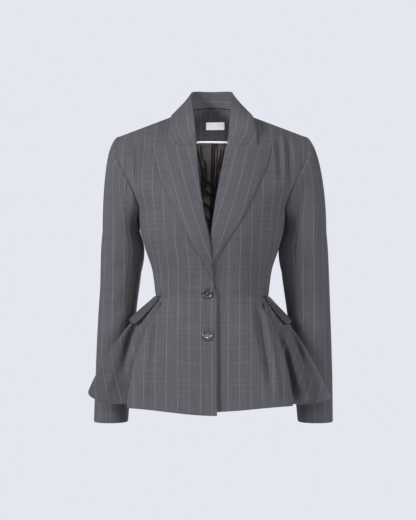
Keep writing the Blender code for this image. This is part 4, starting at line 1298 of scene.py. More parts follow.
@dataclass
class SideBody:
    """The panel under the arm, from the waist seam to the armhole."""

    half: Half
    first_angle: float = 72.0
    phase: float = 6.0

    def build(self, looks: Material) -> None:
        """Make the side body.

        Args:
            looks: The wool.
        """
        cloth = Cloth(f"cloth_side_body_{self.half.name}", self.half.sign, lambda p: Vector((0.0, 0.0, p.z)))
        first, last = self.first_angle + seam_angle(), self.half.folds[BACK_VALLEY].angle - seam_angle()

        def place(share: float, height: float) -> Vector:
            """Point of the panel.

            Args:
                share: Part of the way from the front seam to the back one.
                height: Part of the way up.

            Returns:
                The point.
            """
            top = BODY.armpit_z - BODY.armhole_dip * math.sin(math.pi * share)
            z = mix(BODY.waist_z + 0.5 * SEAM_GAP, top, height)
            return BODY.ring_point(mix(first, last, share), z)

        cloth.grid(crowded(spread(0.0, 1.0, 20)), crowded(spread(0.0, 1.0, 34)), place,
                   cut_across(lambda point, j: self.phase))
        cloth.finish(looks, Slot.WOOL, Hold.HUNG, [f"front_{self.half.name}", f"back_{self.half.name}"])


@dataclass
class BackPanel:
    """Half of the back: shoulder and neck to the hem, with the leg behind the flute."""

    half: Half
    creases: tuple[Crease, ...]
    leg: Pair = (3.8, 4.0)
    phase: float = 12.2
    out_ease: float = 0.25

    def high_point(self, station: float, row: float) -> Vector:
        """Point above the waist, at a station of the peplum and rows counted from the waist.

        Args:
            station: Place along the peplum.
            row: Place up.

        Returns:
            The point.
        """
        side_angle = self.half.folds[BACK_VALLEY].angle
        angle = self.half.peplum_angle(station) + (seam_angle() if station == BACK_VALLEY else 0.0)
        if row <= BODY.waist_rows:
            point = BODY.ring_point(angle, mix(BODY.waist_z, BODY.armpit_z, row / BODY.waist_rows))
        else:
            climb = BODY.climb(row)
            side_out = BODY.ring_point(side_angle, BODY.armpit_z).x
            across = BODY.ring_point(angle, BODY.armpit_z).x / side_out
            reach = BODY.armhole_out(mix(BODY.armpit_z, BODY.shoulder_tip[1], climb))
            out = mix(side_out, reach, smooth(climb / self.out_ease)) * across
            top = BODY.neck_back_z(out) if out < BODY.neck_point[0] else BODY.shoulder_z(out)
            z = mix(BODY.armpit_z, top, climb)
            point = BODY.back_point(out, z - (0.5 * SEAM_GAP if climb == 1.0 else 0.0))
        if station == CENTRE_BACK:
            point.x = 0.5 * SEAM_GAP
        return point

    def low_point(self, station: float, down: float) -> Vector:
        """Point below the waist.

        Args:
            station: Place along the peplum.
            down: Part of the way down.

        Returns:
            The point.
        """
        if station >= BACK_VALLEY and down == 0.0:
            return self.high_point(station, 0.0)
        trim = self.half.seam_trim(FLUTE, down) if station == self.leg[0] else 0.0
        point = self.half.peplum_point(station + trim, down)
        if station < BACK_VALLEY:
            point.z -= seam_drop(down)
        if station == CENTRE_BACK:
            point.x = 0.5 * SEAM_GAP
        return point

    def build(self, looks: Material) -> None:
        """Make the half back.

        Args:
            looks: The wool.
        """
        cloth = Cloth(f"cloth_back_{self.half.name}", self.half.sign, lambda p: Vector((p.x * 0.5, -10.0, p.z)))
        stations = crowded(spread(4.0, 5.0, 12)[:-1] + spread(5.0, 8.0, 32))
        heights = crowded(spread(0.0, 6.0, 34)[:-1] + spread(6.0, 15.0, 44), (False, True))

        def lift(first: float, second: float, point: Vector) -> float:
            """Lift of the back's creases at a point."""
            return all_creases(self.creases, point.x, point.z)

        cut = cut_across(lambda point, j: -self.phase, base=-1)
        cloth.grid(stations, heights, self.high_point, cut, lift)
        leg = crowded(spread(*self.leg, 5), (True, False))[:-1]
        cloth.grid(leg + stations, crowded(spread(0.0, 1.0, 42), (False, True)), self.low_point, cut,
                   lambda first, second, point: lift(first, second, point) if first > BACK_VALLEY else 0.0)
        cloth.finish(looks, Slot.WOOL, Hold.HUNG, [f"front_{self.half.name}", f"side_body_{self.half.name}"])


@dataclass
class SidePeplum:
    """The side peplum: one large flute between the two valleys, cut on a slant."""

    half: Half
    creases: tuple[Crease, ...]
    first: float = 2.2
    last: float = 3.8
    slant: float = 0.25
    phase: float = 0.0
    gather: float = 0.87
    crease_ease: float = 0.25

    def place(self, station: float, down: float) -> Vector:
        """Point of the flute.

        Args:
            station: Place along the peplum.
            down: Part of the way down.

        Returns:
            The point.
        """
        trim = 0.0
        if station == self.first:
            trim = self.half.seam_trim(FRONT_VALLEY, down)
        if station == self.last:
            trim = -self.half.seam_trim(FLUTE, down)
        point = self.half.peplum_point(station + trim, down)
        point.z -= seam_drop(down)
        return point

    def build(self, looks: Material) -> None:
        """Make the flute.

        Args:
            looks: The wool.
        """
        cloth = Cloth(f"cloth_peplum_{self.half.name}", self.half.sign,
                      lambda p: Vector((p.x - 20.0, -24.0, p.z)))
        front = spread(self.first, 2.88, 20)[:-1] + spread(2.88, 3.0, 7)
        back = spread(3.0, 3.12, 7)[1:] + spread(3.12, self.last, 20)[1:]
        stations = crowded(front + back)
        ridge = stations.index(3.0)

        def cut(points: Points) -> Callable:
            """The cut from the flute's ridge both ways, on its slant."""
            laid = cut_across(lambda point, j: point.x - self.slant * point.z, base=ridge)(points)
            return lambda i, j, column: (laid(i, j, column)[0] * self.gather + self.phase, points[i][j].z)

        def lift(station: float, down: float, point: Vector) -> float:
            """Lift of the creases, on the flute's front side only."""
            side = smooth((FLUTE - station) / self.crease_ease)
            return all_creases(self.creases, point.x, point.z) * side

        cloth.grid(stations, crowded(spread(0.0, 1.0, 46), (False, True)), self.place, cut, lift)
        cloth.finish(looks, Slot.WOOL, Hold.HUNG, [f"side_body_{self.half.name}", f"front_{self.half.name}"])


@dataclass
class Flap:
    """A pocket flap over the top of the flute, hung from the waist seam."""

    half: Half
    front: Pair = (1.8, 2.66)
    front_curve: float = 0.6
    back: float = 3.7
    ridge: float = 0.45
    top: float = 0.008
    deep: float = 0.275
    lay: Pair = (1.9, 7.5)
    corner_reach: float = 0.16
    corner_rise: float = 0.88

    def place(self, across: float, below: float) -> Vector:
        """Point of the flap: across from its front edge (0) to its back edge, below from seam (0) to edge.

        Args:
            across: Part of the way across.
            below: Part of the way down.

        Returns:
            The point.
        """
        first = mix(self.front[0], self.front[1], below ** self.front_curve)
        if across <= self.ridge:
            station = mix(first, FLUTE, across / self.ridge)
        else:
            station = mix(FLUTE, self.back, (across - self.ridge) / (1.0 - self.ridge))
        corner = smooth(across / self.corner_reach) * smooth((1.0 - across) / self.corner_reach)
        down = mix(self.top, self.deep * mix(self.corner_rise, 1.0, corner), below)
        surface, step = self.half.peplum_point, 0.01
        along = surface(station + step, down) - surface(station - step, down)
        normal = along.cross(surface(station, down + step) - surface(station, down - step)).normalized()
        normal = normal if normal.x >= 0.0 else -normal
        return surface(station, down) + normal * mix(self.lay[0], self.lay[1], smooth(below))

    def build(self, looks: Material) -> None:
        """Make the flap.

        Args:
            looks: The wool, its ground darkened as painted shade for the flap.
        """
        cloth = Cloth(f"cloth_flap_{self.half.name}", self.half.sign,
                      lambda p: Vector((p.x - 20.0, -24.0, p.z - 20.0)))
        across = crowded(spread(0.0, 0.38, 16)[:-1] + spread(0.38, 0.52, 12)[:-1] + spread(0.52, 1.0, 20))
        cloth.grid(across, crowded(spread(0.0, 1.0, 16)), self.place, cut_along(6.0))
        cloth.finish(looks, Slot.WOOL, Hold.HUNG, [f"side_body_{self.half.name}", f"peplum_{self.half.name}"],
                     wall=1.7, turned=0.8)


@dataclass
class Sleeves:
    """The two pieces of one sleeve, from the armhole to a plain cuff."""

    half: Half
    creases: tuple[Crease, ...]
    phase: float = 0.0
    cap_rows: int = 6
    panel_rows: int = 9
    side_columns: int = 6
    front_share: float = 0.4
    below_share: float = 0.2
    forearm_seam: int = 7
    hindarm_seam: int = -6
    trim: float = 0.018
    point_width: float = 14.0
    seat: float = 0.5
    tube_rows: float = 7.0
    cap_reach: Pair = (1.0, 26.0)
    cap_turn: float = 14.0
    cap_drop: Pair = (6.0, 2.0)
    cap_rise: Pair = (16.0, 105.0)
    cap_ease: float = 1.2
    core_out: Pair = (150.0, 215.0)
    core_fall: float = 120.0
    core_y: float = 28.0
    core_top: float = -40.0
    armhole_dart_tip: float = 0.868

    def __post_init__(self) -> None:
        """Turn the table's columns into curves."""
        rows = self.half.sleeve
        heights = [row.z for row in rows]
        self.inner, self.outer, self.middle, self.depth = (
            Curve(heights, [getattr(row, name) for row in rows])
            for name in ("inner", "outer", "middle", "depth"))
        self.points = 2 * self.panel_rows + self.side_columns
        self.front = FrontPanel(self.half, (), ((0.0, 0.0), (1.0, 0.0)), dart_tip=self.armhole_dart_tip)
        self.back = BackPanel(self.half, ())

    def seam(self, index: float) -> tuple[Vector, Vector]:
        """Point and outward normal of the armhole seam; index counts the points of the solids' edges.

        Args:
            index: Point of the seam, from the shoulder to the front.

        Returns:
            The point and the normal.
        """
        top = BODY.rows
        if index <= self.panel_rows:
            point = self.front.high_point(1.0, top - index)
            return point, normal_of(BODY.front_point, point.x, point.z)
        if index < self.panel_rows + self.side_columns:
            part = (index - self.panel_rows) / self.side_columns
            angle = mix(self.front.side_angle, self.half.folds[BACK_VALLEY].angle, part)
            z = BODY.armpit_z - BODY.armhole_dip * math.sin(math.pi * part)
            return BODY.ring_point(angle, z), normal_of(BODY.ring_point, angle, z)
        point = self.back.high_point(BACK_VALLEY + 1e-6, top - (self.points - index))
        return point, normal_of(BODY.back_point, point.x, point.z)

    def around(self, index: float) -> float:
        """Place around the tube (0 outside, 0.25 front, 0.5 inside) of a point of the armhole seam.

        Args:
            index: Point of the seam.

        Returns:
            The place around.
        """
        if index <= self.panel_rows:
            return self.front_share * index / self.panel_rows
        if index < self.panel_rows + self.side_columns:
            return self.front_share + self.below_share * (index - self.panel_rows) / self.side_columns
        return 1.0 - self.front_share * (self.points - index) / self.panel_rows

    def section(self, around: float, z: float) -> Vector:
        """Point of the tube at one height.

        Args:
            around: Place around.
            z: Height.

        Returns:
            The point.
        """
        turn = 2.0 * math.pi * around
        outer, inner = self.outer(z), self.inner(z)
        across = signed_power(math.cos(turn), BODY.ring_power)
        along = signed_power(math.sin(turn), BODY.ring_power)
        return Vector(((inner + outer) / 2 + (outer - inner) / 2 * across,
                       self.middle(z) - self.depth(z) / 2 * along, z))

    def place(self, index: float, row: float) -> Vector:
        """Point of the sleeve: rows 0 to 6 turn from the armhole to the level tube, 6 to 13 run to the cuff.

        Args:
            index: Point of the armhole seam that the column starts from.
            row: The row.

        Returns:
            The point.
        """
        index = index % self.points
        around = self.around(index)
        top, bottom = self.half.sleeve[-1].z, self.half.sleeve[0].z
        if row >= self.cap_rows:
            return self.section(around, mix(top, bottom, (row - self.cap_rows) / self.tube_rows))
        seam, normal = self.seam(index)
        start = seam + normal * self.seat
        end = self.section(around, top)
        height = (math.cos(2.0 * math.pi * around) + 1.0) / 2.0
        low = 1.0 - height
        drop = -self.cap_drop[1] * height - self.cap_drop[0] * low
        reach = Vector((mix(*self.cap_reach, height), normal.y * self.cap_turn * low, drop))
        first, second = start + reach, end + Vector((0.0, 0.0, mix(*self.cap_rise, height)))
        part = (row / self.cap_rows) ** self.cap_ease
        rest = 1.0 - part
        return (rest ** 3 * start + 3 * part * rest ** 2 * first + 3 * part ** 2 * rest * second
                + part ** 3 * end)

    def core(self, point: Vector) -> Vector:
        """Middle of the arm near a point of the sleeve."""
        return Vector((mix(*self.core_out, smooth(-point.z / self.core_fall)), self.core_y,
                       min(point.z, self.core_top)))

    def make(self, name: str, first: int, last: int, looks: Material) -> None:
        """One of the two pieces, between two points of the armhole seam.

        Args:
            name: The piece, without its side.
            first: Point of the armhole seam where it starts.
            last: Point where it ends.
            looks: The wool.
        """
        cloth = Cloth(f"cloth_{name}_{self.half.name}", self.half.sign, self.core)
        columns = crowded(spread(first + self.trim, last - self.trim, (last - first) * 3))
        rows = crowded(spread(0.0, 6.0, 26)[:-1] + spread(6.0, 13.0, 66))

        def cut(points: Points) -> Callable:
            """The cut measured from the outside of the arm.

            Args:
                points: The grid's points.

            Returns:
                The cut's coordinates of a column and row, for faces of a column.
            """
            laid = cut_along()(points)
            zero = min(range(len(columns)), key=lambda k: abs(columns[k]))
            shift = [laid(zero, j, 0)[0] if first <= 0 <= last else 0.0 for j in range(len(rows))]
            return lambda i, j, column: (laid(i, j, column)[0] - shift[j] + self.phase, points[i][j].z)

        def lift(index: float, row: float, point: Vector) -> float:
            """Lift of the sleeve's creases, clear of the armhole."""
            return all_creases(self.creases, index * self.point_width, point.z) if row > 1.0 else 0.0

        cloth.grid(columns, rows, self.place, cut, lift)
        cloth.finish(looks, Slot.WOOL, Hold.HUNG, [f"front_{self.half.name}", f"back_{self.half.name}"])

    def build(self, looks: Material) -> None:
        """Make the top sleeve and the under sleeve."""
        self.make("sleeve_top", self.hindarm_seam, self.forearm_seam, looks)
        self.make("sleeve_under", self.forearm_seam, self.points + self.hindarm_seam, looks)


@dataclass
class Lapel:
    """A peak lapel that rolls over the front's edge and lies on the chest."""

    half: Half
    phase: float
    slant: float = 0.2
    curve: float = 0.0004
    lay: float = 2.6
    swell: float = 2.6
    roll_radius: float = 1.3
    roll_gap: float = 0.3
    narrowest: float = 1.0
    swell_reach: float = 90.0

    def place(self, across: float, z: float) -> Vector:
        """Point of the lapel: across from the roll line (0) to the free edge (1), under 0 round the roll.

        Args:
            across: Part of the way across.
            z: Height.

        Returns:
            The point.
        """
        roll = self.half.roll(z) + self.roll_gap
        out = mix(roll, max(self.half.lapel(z), roll + self.narrowest), max(0.0, across))
        lift = self.lay
        if across >= 0.0:
            grown = smooth((z - self.half.lapel_rows[0][0]) / self.swell_reach)
            lift += self.swell * math.sin(math.pi * across) * grown
        else:
            turn = math.pi * (1.0 + across)
            lift = self.lay / 2.0 - self.lay / 2.0 * math.cos(turn)
            out = roll - self.roll_radius * math.sin(turn)
        point = BODY.front_point(out, z) + normal_of(BODY.front_point, out, z) * lift
        point.y += self.half.left_inset(Vector((out, 0.0, z)))
        return point

    def laid(self, point: Vector) -> float:
        """How far across the cut a point lies, on a slant and a slight curve."""
        return point.x - self.slant * point.z + self.curve * point.z ** 2 + self.phase

    def build(self, looks: Material) -> None:
        """Make the lapel.

        Args:
            looks: The wool.
        """
        cloth = Cloth(f"cloth_lapel_{self.half.name}", self.half.sign, lambda p: Vector((p.x, 40.0, p.z)))
        bottom, top = self.half.lapel_rows[0][0], self.half.lapel_rows[-1][0]

        def cut(points: Points) -> Callable:
            """The lapel's cut."""
            return lambda i, j, column: (self.laid(points[i][j]), points[i][j].z)

        cloth.grid(spread(-1.0, 0.0, 6)[:-1] + crowded(spread(0.0, 1.0, 26), (False, True)),
                   crowded(spread(bottom, top, 64)), self.place, cut)
        cloth.finish(looks, Slot.WOOL, Hold.FOLDED, [f"front_{self.half.name}"], turned=0.5)


@dataclass
class Collar:
    """The collar: its outer leaf, which turns over the top of its standing band."""

    stations: tuple[float, ...] = (0.0, 0.2, 0.38, 0.52, 0.68, 0.84, 1.0)
    fold: tuple[Triple, ...] = (
        (35, -62, 1), (38.5, -38, 40), (43, -14, 76), (47, 10, 106), (44, 36, 120),
        (25, 56, 123), (0, 63, 123))
    edge: tuple[Triple, ...] = (
        (101, -55, 1), (95, -38, 34), (91, -14, 60), (88, 10, 67), (74, 52, 62),
        (42, 78, 63), (0, 85, 64))
    seam: tuple[Triple, ...] = (
        (34, -58, 1), (42, -32, 42), (53, -11, 64), (58, 5, 75), (47, 29, 80),
        (25, 46, 85), (0, 50.5, 86.5))
    lay: float = 1.9
    swell: float = 1.5
    clearance: float = 4.0
    gorge_reach: float = 0.22
    gorge_z: Pair = (-6.6, -7.6)
    gorge_lift: float = 4.2
    gorge_from: float = 36.0
    gorge_ease: float = 14.0
    neck_y: float = 8.0
    fold_rise: float = 0.9
    lay_reach: float = 1.2
    stripe_start: float = 8.0

    def __post_init__(self) -> None:
        """Turn the lines into curves."""
        self.curves = {name: [Curve(self.stations, [point[axis] for point in line]) for axis in range(3)]
                       for name, line in (("fold", self.fold), ("edge", self.edge), ("seam", self.seam))}

    def line(self, name: str, at: float) -> Vector:
        """A line of the collar, from one gorge (-1) round the back (0) to the other (1)."""
        values = [curve(1.0 - abs(at)) for curve in self.curves[name]]
        return Vector((math.copysign(values[0], at), values[1], values[2]))

    def outward(self, at: float) -> Vector:
        """Direction out of the neck at one place."""
        fold = self.line("fold", at)
        return Vector((fold.x, fold.y - self.neck_y, 0.0)).normalized()

    def lift_off(self, point: Vector, clearance: float) -> Vector:
        """Move a point out until it clears the shoulders.

        Args:
            point: The point.
            clearance: How far it clears them.

        Returns:
            The moved point.
        """
        out = abs(point.x)
        if point.y < BODY.shoulder_y and point.z < BODY.shoulder_z(out):
            point.y = min(point.y, BODY.front_point(out, point.z).y - clearance)
        if point.y >= BODY.shoulder_y and point.z < BODY.back_top_z(out):
            point.y = max(point.y, BODY.back_point(out, point.z).y + clearance)
        return point

    def leaf_point(self, at: float, across: float) -> Vector:
        """Point of the leaf: across from the fold (0) to the free edge (1), and under 0 over the fold.

        Args:
            at: Place round the neck.
            across: Part of the way across.

        Returns:
            The point.
        """
        outward = self.outward(at)
        if across < 0.0:
            turn = math.pi * (1.0 + across)
            rise = Vector((0.0, 0.0, 1.0)) * self.fold_rise * math.sin(turn)
            return self.line("fold", at) - outward * self.lay * 0.5 * math.cos(turn) + rise
        start = self.line("fold", at) + outward * self.lay * 0.5
        point = start.lerp(self.line("edge", at), across) + outward * self.swell * math.sin(math.pi * across)
        lain = math.sin(math.pi * min(1.0, across * self.lay_reach))
        point = self.lift_off(point, mix(self.lay, self.clearance, lain))
        return self.to_gorge(point, at)

    def to_gorge(self, point: Vector, at: float) -> Vector:
        """Bring the leaf's end down to the lapel's top edge and level with it.

        Args:
            point: Point of the leaf.
            at: Place round the neck.

        Returns:
            The moved point.
        """
        near = smooth((abs(at) - 1.0 + self.gorge_reach) / self.gorge_reach)
        point.z += (self.gorge_z[0 if at < 0.0 else 1] - self.line("edge", at).z) * near ** 2
        surface = BODY.front_point(abs(point.x), point.z)
        lain = near * smooth((abs(point.x) - self.gorge_from) / self.gorge_ease)
        point.y = mix(point.y, surface.y - self.gorge_lift, lain)
        return point

    def band_point(self, at: float, up: float) -> Vector:
        """Point of the band, up from the neck seam (0) to the fold (1)."""
        top = self.line("fold", at) - self.outward(at) * self.lay * 0.5
        foot = self.line("seam", at) - self.outward(at) * self.lay
        return foot.lerp(top, up)

    def build(self, looks: Material) -> None:
        """Make the leaf and the band; the stripe runs round both, as the cloth is cut.

        Args:
            looks: The wool.
        """
        around = crowded(spread(-1.0, 1.0, 96))

        def cut(points: Points) -> Callable:
            """The cut with its grain turned, so that the stripe runs round the neck."""
            laid = cut_along()(points)
            return lambda i, j, column: (laid(i, j, column)[1] + self.stripe_start, laid(i, j, column)[0])

        leaf = Cloth("cloth_collar_fall", 1, lambda p: Vector((0.0, self.neck_y, p.z)))
        leaf.grid(around, spread(-1.0, 0.0, 5)[:-1] + crowded(spread(0.0, 1.0, 22), (False, True)),
                  self.leaf_point, cut)
        leaf.finish(looks, Slot.WOOL, Hold.FOLDED, ["collar_stand", "back_right", "back_left"], turned=0.5)
        band = Cloth("cloth_collar_stand", 1, lambda p: Vector((0.0, self.neck_y, p.z)))
        band.grid(around, crowded(spread(0.0, 1.0, 14), (True, False)), self.band_point, cut)
        band.finish(looks, Slot.WOOL, Hold.HUNG, ["back_right", "back_left"], turned=0.0)


@dataclass
class NeckInside:
    """What shows inside the neck: facing, blank label, piping and lining with its pleat."""

    facing_bottom: float = 17.0
    facing_lay: float = 4.0
    piping_lay: float = 4.8
    label_lay: float = 5.7
    piping_width: float = 4.5
    label_size: Pair = (44.0, 16.5)
    label_centre: Pair = (8.0, 51.0)
    lining_margin: float = 8.0
    join_from: float = 0.66
    foot_drop: float = 1.6
    foot_steps: int = 40
    foot_count: int = 24
    facing_in: float = 10.0
    facing_top: float = 5.0
    piping_in: float = 6.0
    piping_round: float = 1.1
    lining_above_waist: float = 6.0
    lining_gap: float = 3.5
    lining_ease: float = 0.25
    lining_slack: float = 1.5
    grain_shift: float = 1.5
    lining_creases: tuple[Crease, ...] = (
        Crease((4, 14), (-2, -210), 5, 2.6, fade_in=0.05, fade_out=0.3),
        Crease((9, 12), (3, -200), -3.5, 3, fade_in=0.05, fade_out=0.3),
        Crease((-30, 8), (-12, -70), 3, 3.5, bow=3, fade_in=0.2),
        Crease((-20, -20), (-24, -120), 3.5, 3.5, bow=-4),
        Crease((24, 4), (12, -60), 3, 3, bow=-3, fade_in=0.2),
        Crease((20, -50), (8, -130), 3.5, 3.5, bow=3),
        Crease((-26, -60), (4, -84), 2.5, 4),
        Crease((-16, -95), (22, -118), 4, 3.4),
        Crease((-22, -122), (12, -140), 3.5, 3.4),
        Crease((-6, -136), (20, -158), 4, 3.2),
        Crease((-16, -156), (10, -172), 3.5, 3.2),
        Crease((-8, -172), (8, -190), 3.5, 3.2),
    )

    def __post_init__(self) -> None:
        """Work out where the foot of the collar's band runs."""
        collar = Collar()
        feet = [collar.band_point(step / self.foot_steps, 0.0) for step in range(self.foot_count)]
        self.foot_y = Curve([foot.x for foot in feet], [foot.y for foot in feet])
        self.foot_z = Curve([foot.x for foot in feet], [foot.z - SEAM_GAP for foot in feet])

    @staticmethod
    def heart(point: Vector) -> Vector:
        """These pieces show their inner side."""
        return Vector((point.x, point.y + 50.0, point.z))

    def cut(self, points: Points) -> Callable:
        """Straight grain: across and up."""
        return lambda i, j, column: (points[i][j].x + self.grain_shift, points[i][j].z)

    def strip(self, name: str, xs: list[float], rows: list[float], span: Callable, lay: float,
              looks: Material, slot: Slot, rests_on: list[str], wall: float,
              lift: Optional[Callable] = None, meet: Optional[Callable] = None, **trims: object) -> None:
        """A piece that lies inside the back.

        Args:
            name: Name of the piece.
            xs: Its columns, parts from -1 to 1 of its half width.
            rows: Its rows, parts from 0 to 1 of its height.
            span: For a row, gives the height at a distance across; for a column, the half width.
            lay: How far in from the back it lies.
            looks: Its material.
            slot: The record's slot.
            rests_on: What it lies on.
            wall: Thickness.
            lift: Its creases.
            meet: Brings a point to what the piece is sewn to, for its part of the height.
            trims: The words for trims that Cloth.finish takes.
        """
        cloth = Cloth(name, 1, self.heart)

        def place(part: float, up: float) -> Vector:
            """Point of the piece.

            Args:
                part: Part of its half width.
                up: Part of its height.

            Returns:
                The point.
            """
            out, z = span(part, up)
            point = BODY.inside_back(out, z, lay)
            return meet(point, up) if meet else point

        cloth.grid(xs, rows, place, self.cut, lift)
        cloth.finish(looks, slot, Hold.DRAPED, rests_on, wall=wall, turned=0.2, **trims)

    def to_band(self, point: Vector, up: float) -> Vector:
        """Bring the facing's upper part to the foot of the collar's band."""
        foot = Vector((point.x, self.foot_y(abs(point.x)), self.foot_z(abs(point.x)) - self.foot_drop))
        return point.lerp(foot, smooth((up - self.join_from) / (1.0 - self.join_from)))

    def build(self, wool: Material, satin: Material, lining: Material) -> None:
        """Make the four pieces.

        Args:
            wool: The facing's wool.
            satin: The label's and piping's satin.
            lining: The lining.
        """
        half = BODY.neck_point[0] - self.facing_in
        backs = ["back_right", "back_left"]

        def facing(part: float, up: float) -> Pair:
            """Distance across and height on the facing."""
            return half * part, mix(self.facing_bottom, BODY.neck_back_z(half * part) - self.facing_top, up)

        def label(part: float, up: float) -> Pair:
            """Distance across and height on the label."""
            return (self.label_centre[0] + 0.5 * self.label_size[0] * part,
                    self.label_centre[1] + self.label_size[1] * (up - 0.5))

        def piping(part: float, up: float) -> Pair:
            """Distance across and height on the piping."""
            z = self.facing_bottom - SEAM_GAP - self.piping_width * (1.0 - up)
            return (BODY.neck_point[0] - self.piping_in) * part, z

        def back_lining(part: float, up: float) -> Pair:
            """Distance across and height on the lining.

            Args:
                part: Part of its half width.
                up: Part of its height.

            Returns:
                The distance and the height.
            """
            top = self.facing_bottom - self.lining_gap * SEAM_GAP - self.piping_width
            z = mix(BODY.waist_z + self.lining_above_waist, top, up)
            ring = BODY.ring_point(RIGHT.folds[BACK_VALLEY].angle, min(z, BODY.armpit_z)).x
            rise = max(0.0, z - BODY.armpit_z) / (BODY.shoulder_tip[1] - BODY.armpit_z)
            reach = mix(ring, BODY.armhole_out(z), smooth(rise / self.lining_ease)) if rise else ring
            return (reach - self.lining_margin) * part, z

        even = spread(-1.0, 1.0, 48)
        self.strip("cloth_neck_facing", even, spread(0.0, 1.0, 18), facing, self.facing_lay, wool, Slot.WOOL,
                   backs, WALL, meet=self.to_band)
        self.strip("cloth_label", crowded(spread(-1.0, 1.0, 20)), crowded(spread(0.0, 1.0, 8)), label,
                   self.label_lay, satin, Slot.SATIN, ["neck_facing"], WALL_LABEL)
        self.strip("cloth_neck_piping", even, spread(0.0, 1.0, 8), piping, self.piping_lay, satin, Slot.SATIN,
                   backs, WALL, lambda part, up, point: self.piping_round * math.sin(math.pi * up),
                   trim_of="cloth_lining_back")
        close = spread(-1.0, -0.3, 14)[:-1] + spread(-0.3, 0.3, 90)[:-1] + spread(0.3, 1.0, 14)
        self.strip("cloth_lining_back", close, spread(0.0, 1.0, 90), back_lining, self.facing_lay, lining,
                   Slot.LINING, backs, WALL_LINING,
                   lambda part, up, point: max(
                       0.0, all_creases(self.lining_creases, point.x, point.z) + self.lining_slack),
                   with_pieces=["cloth_neck_piping"])


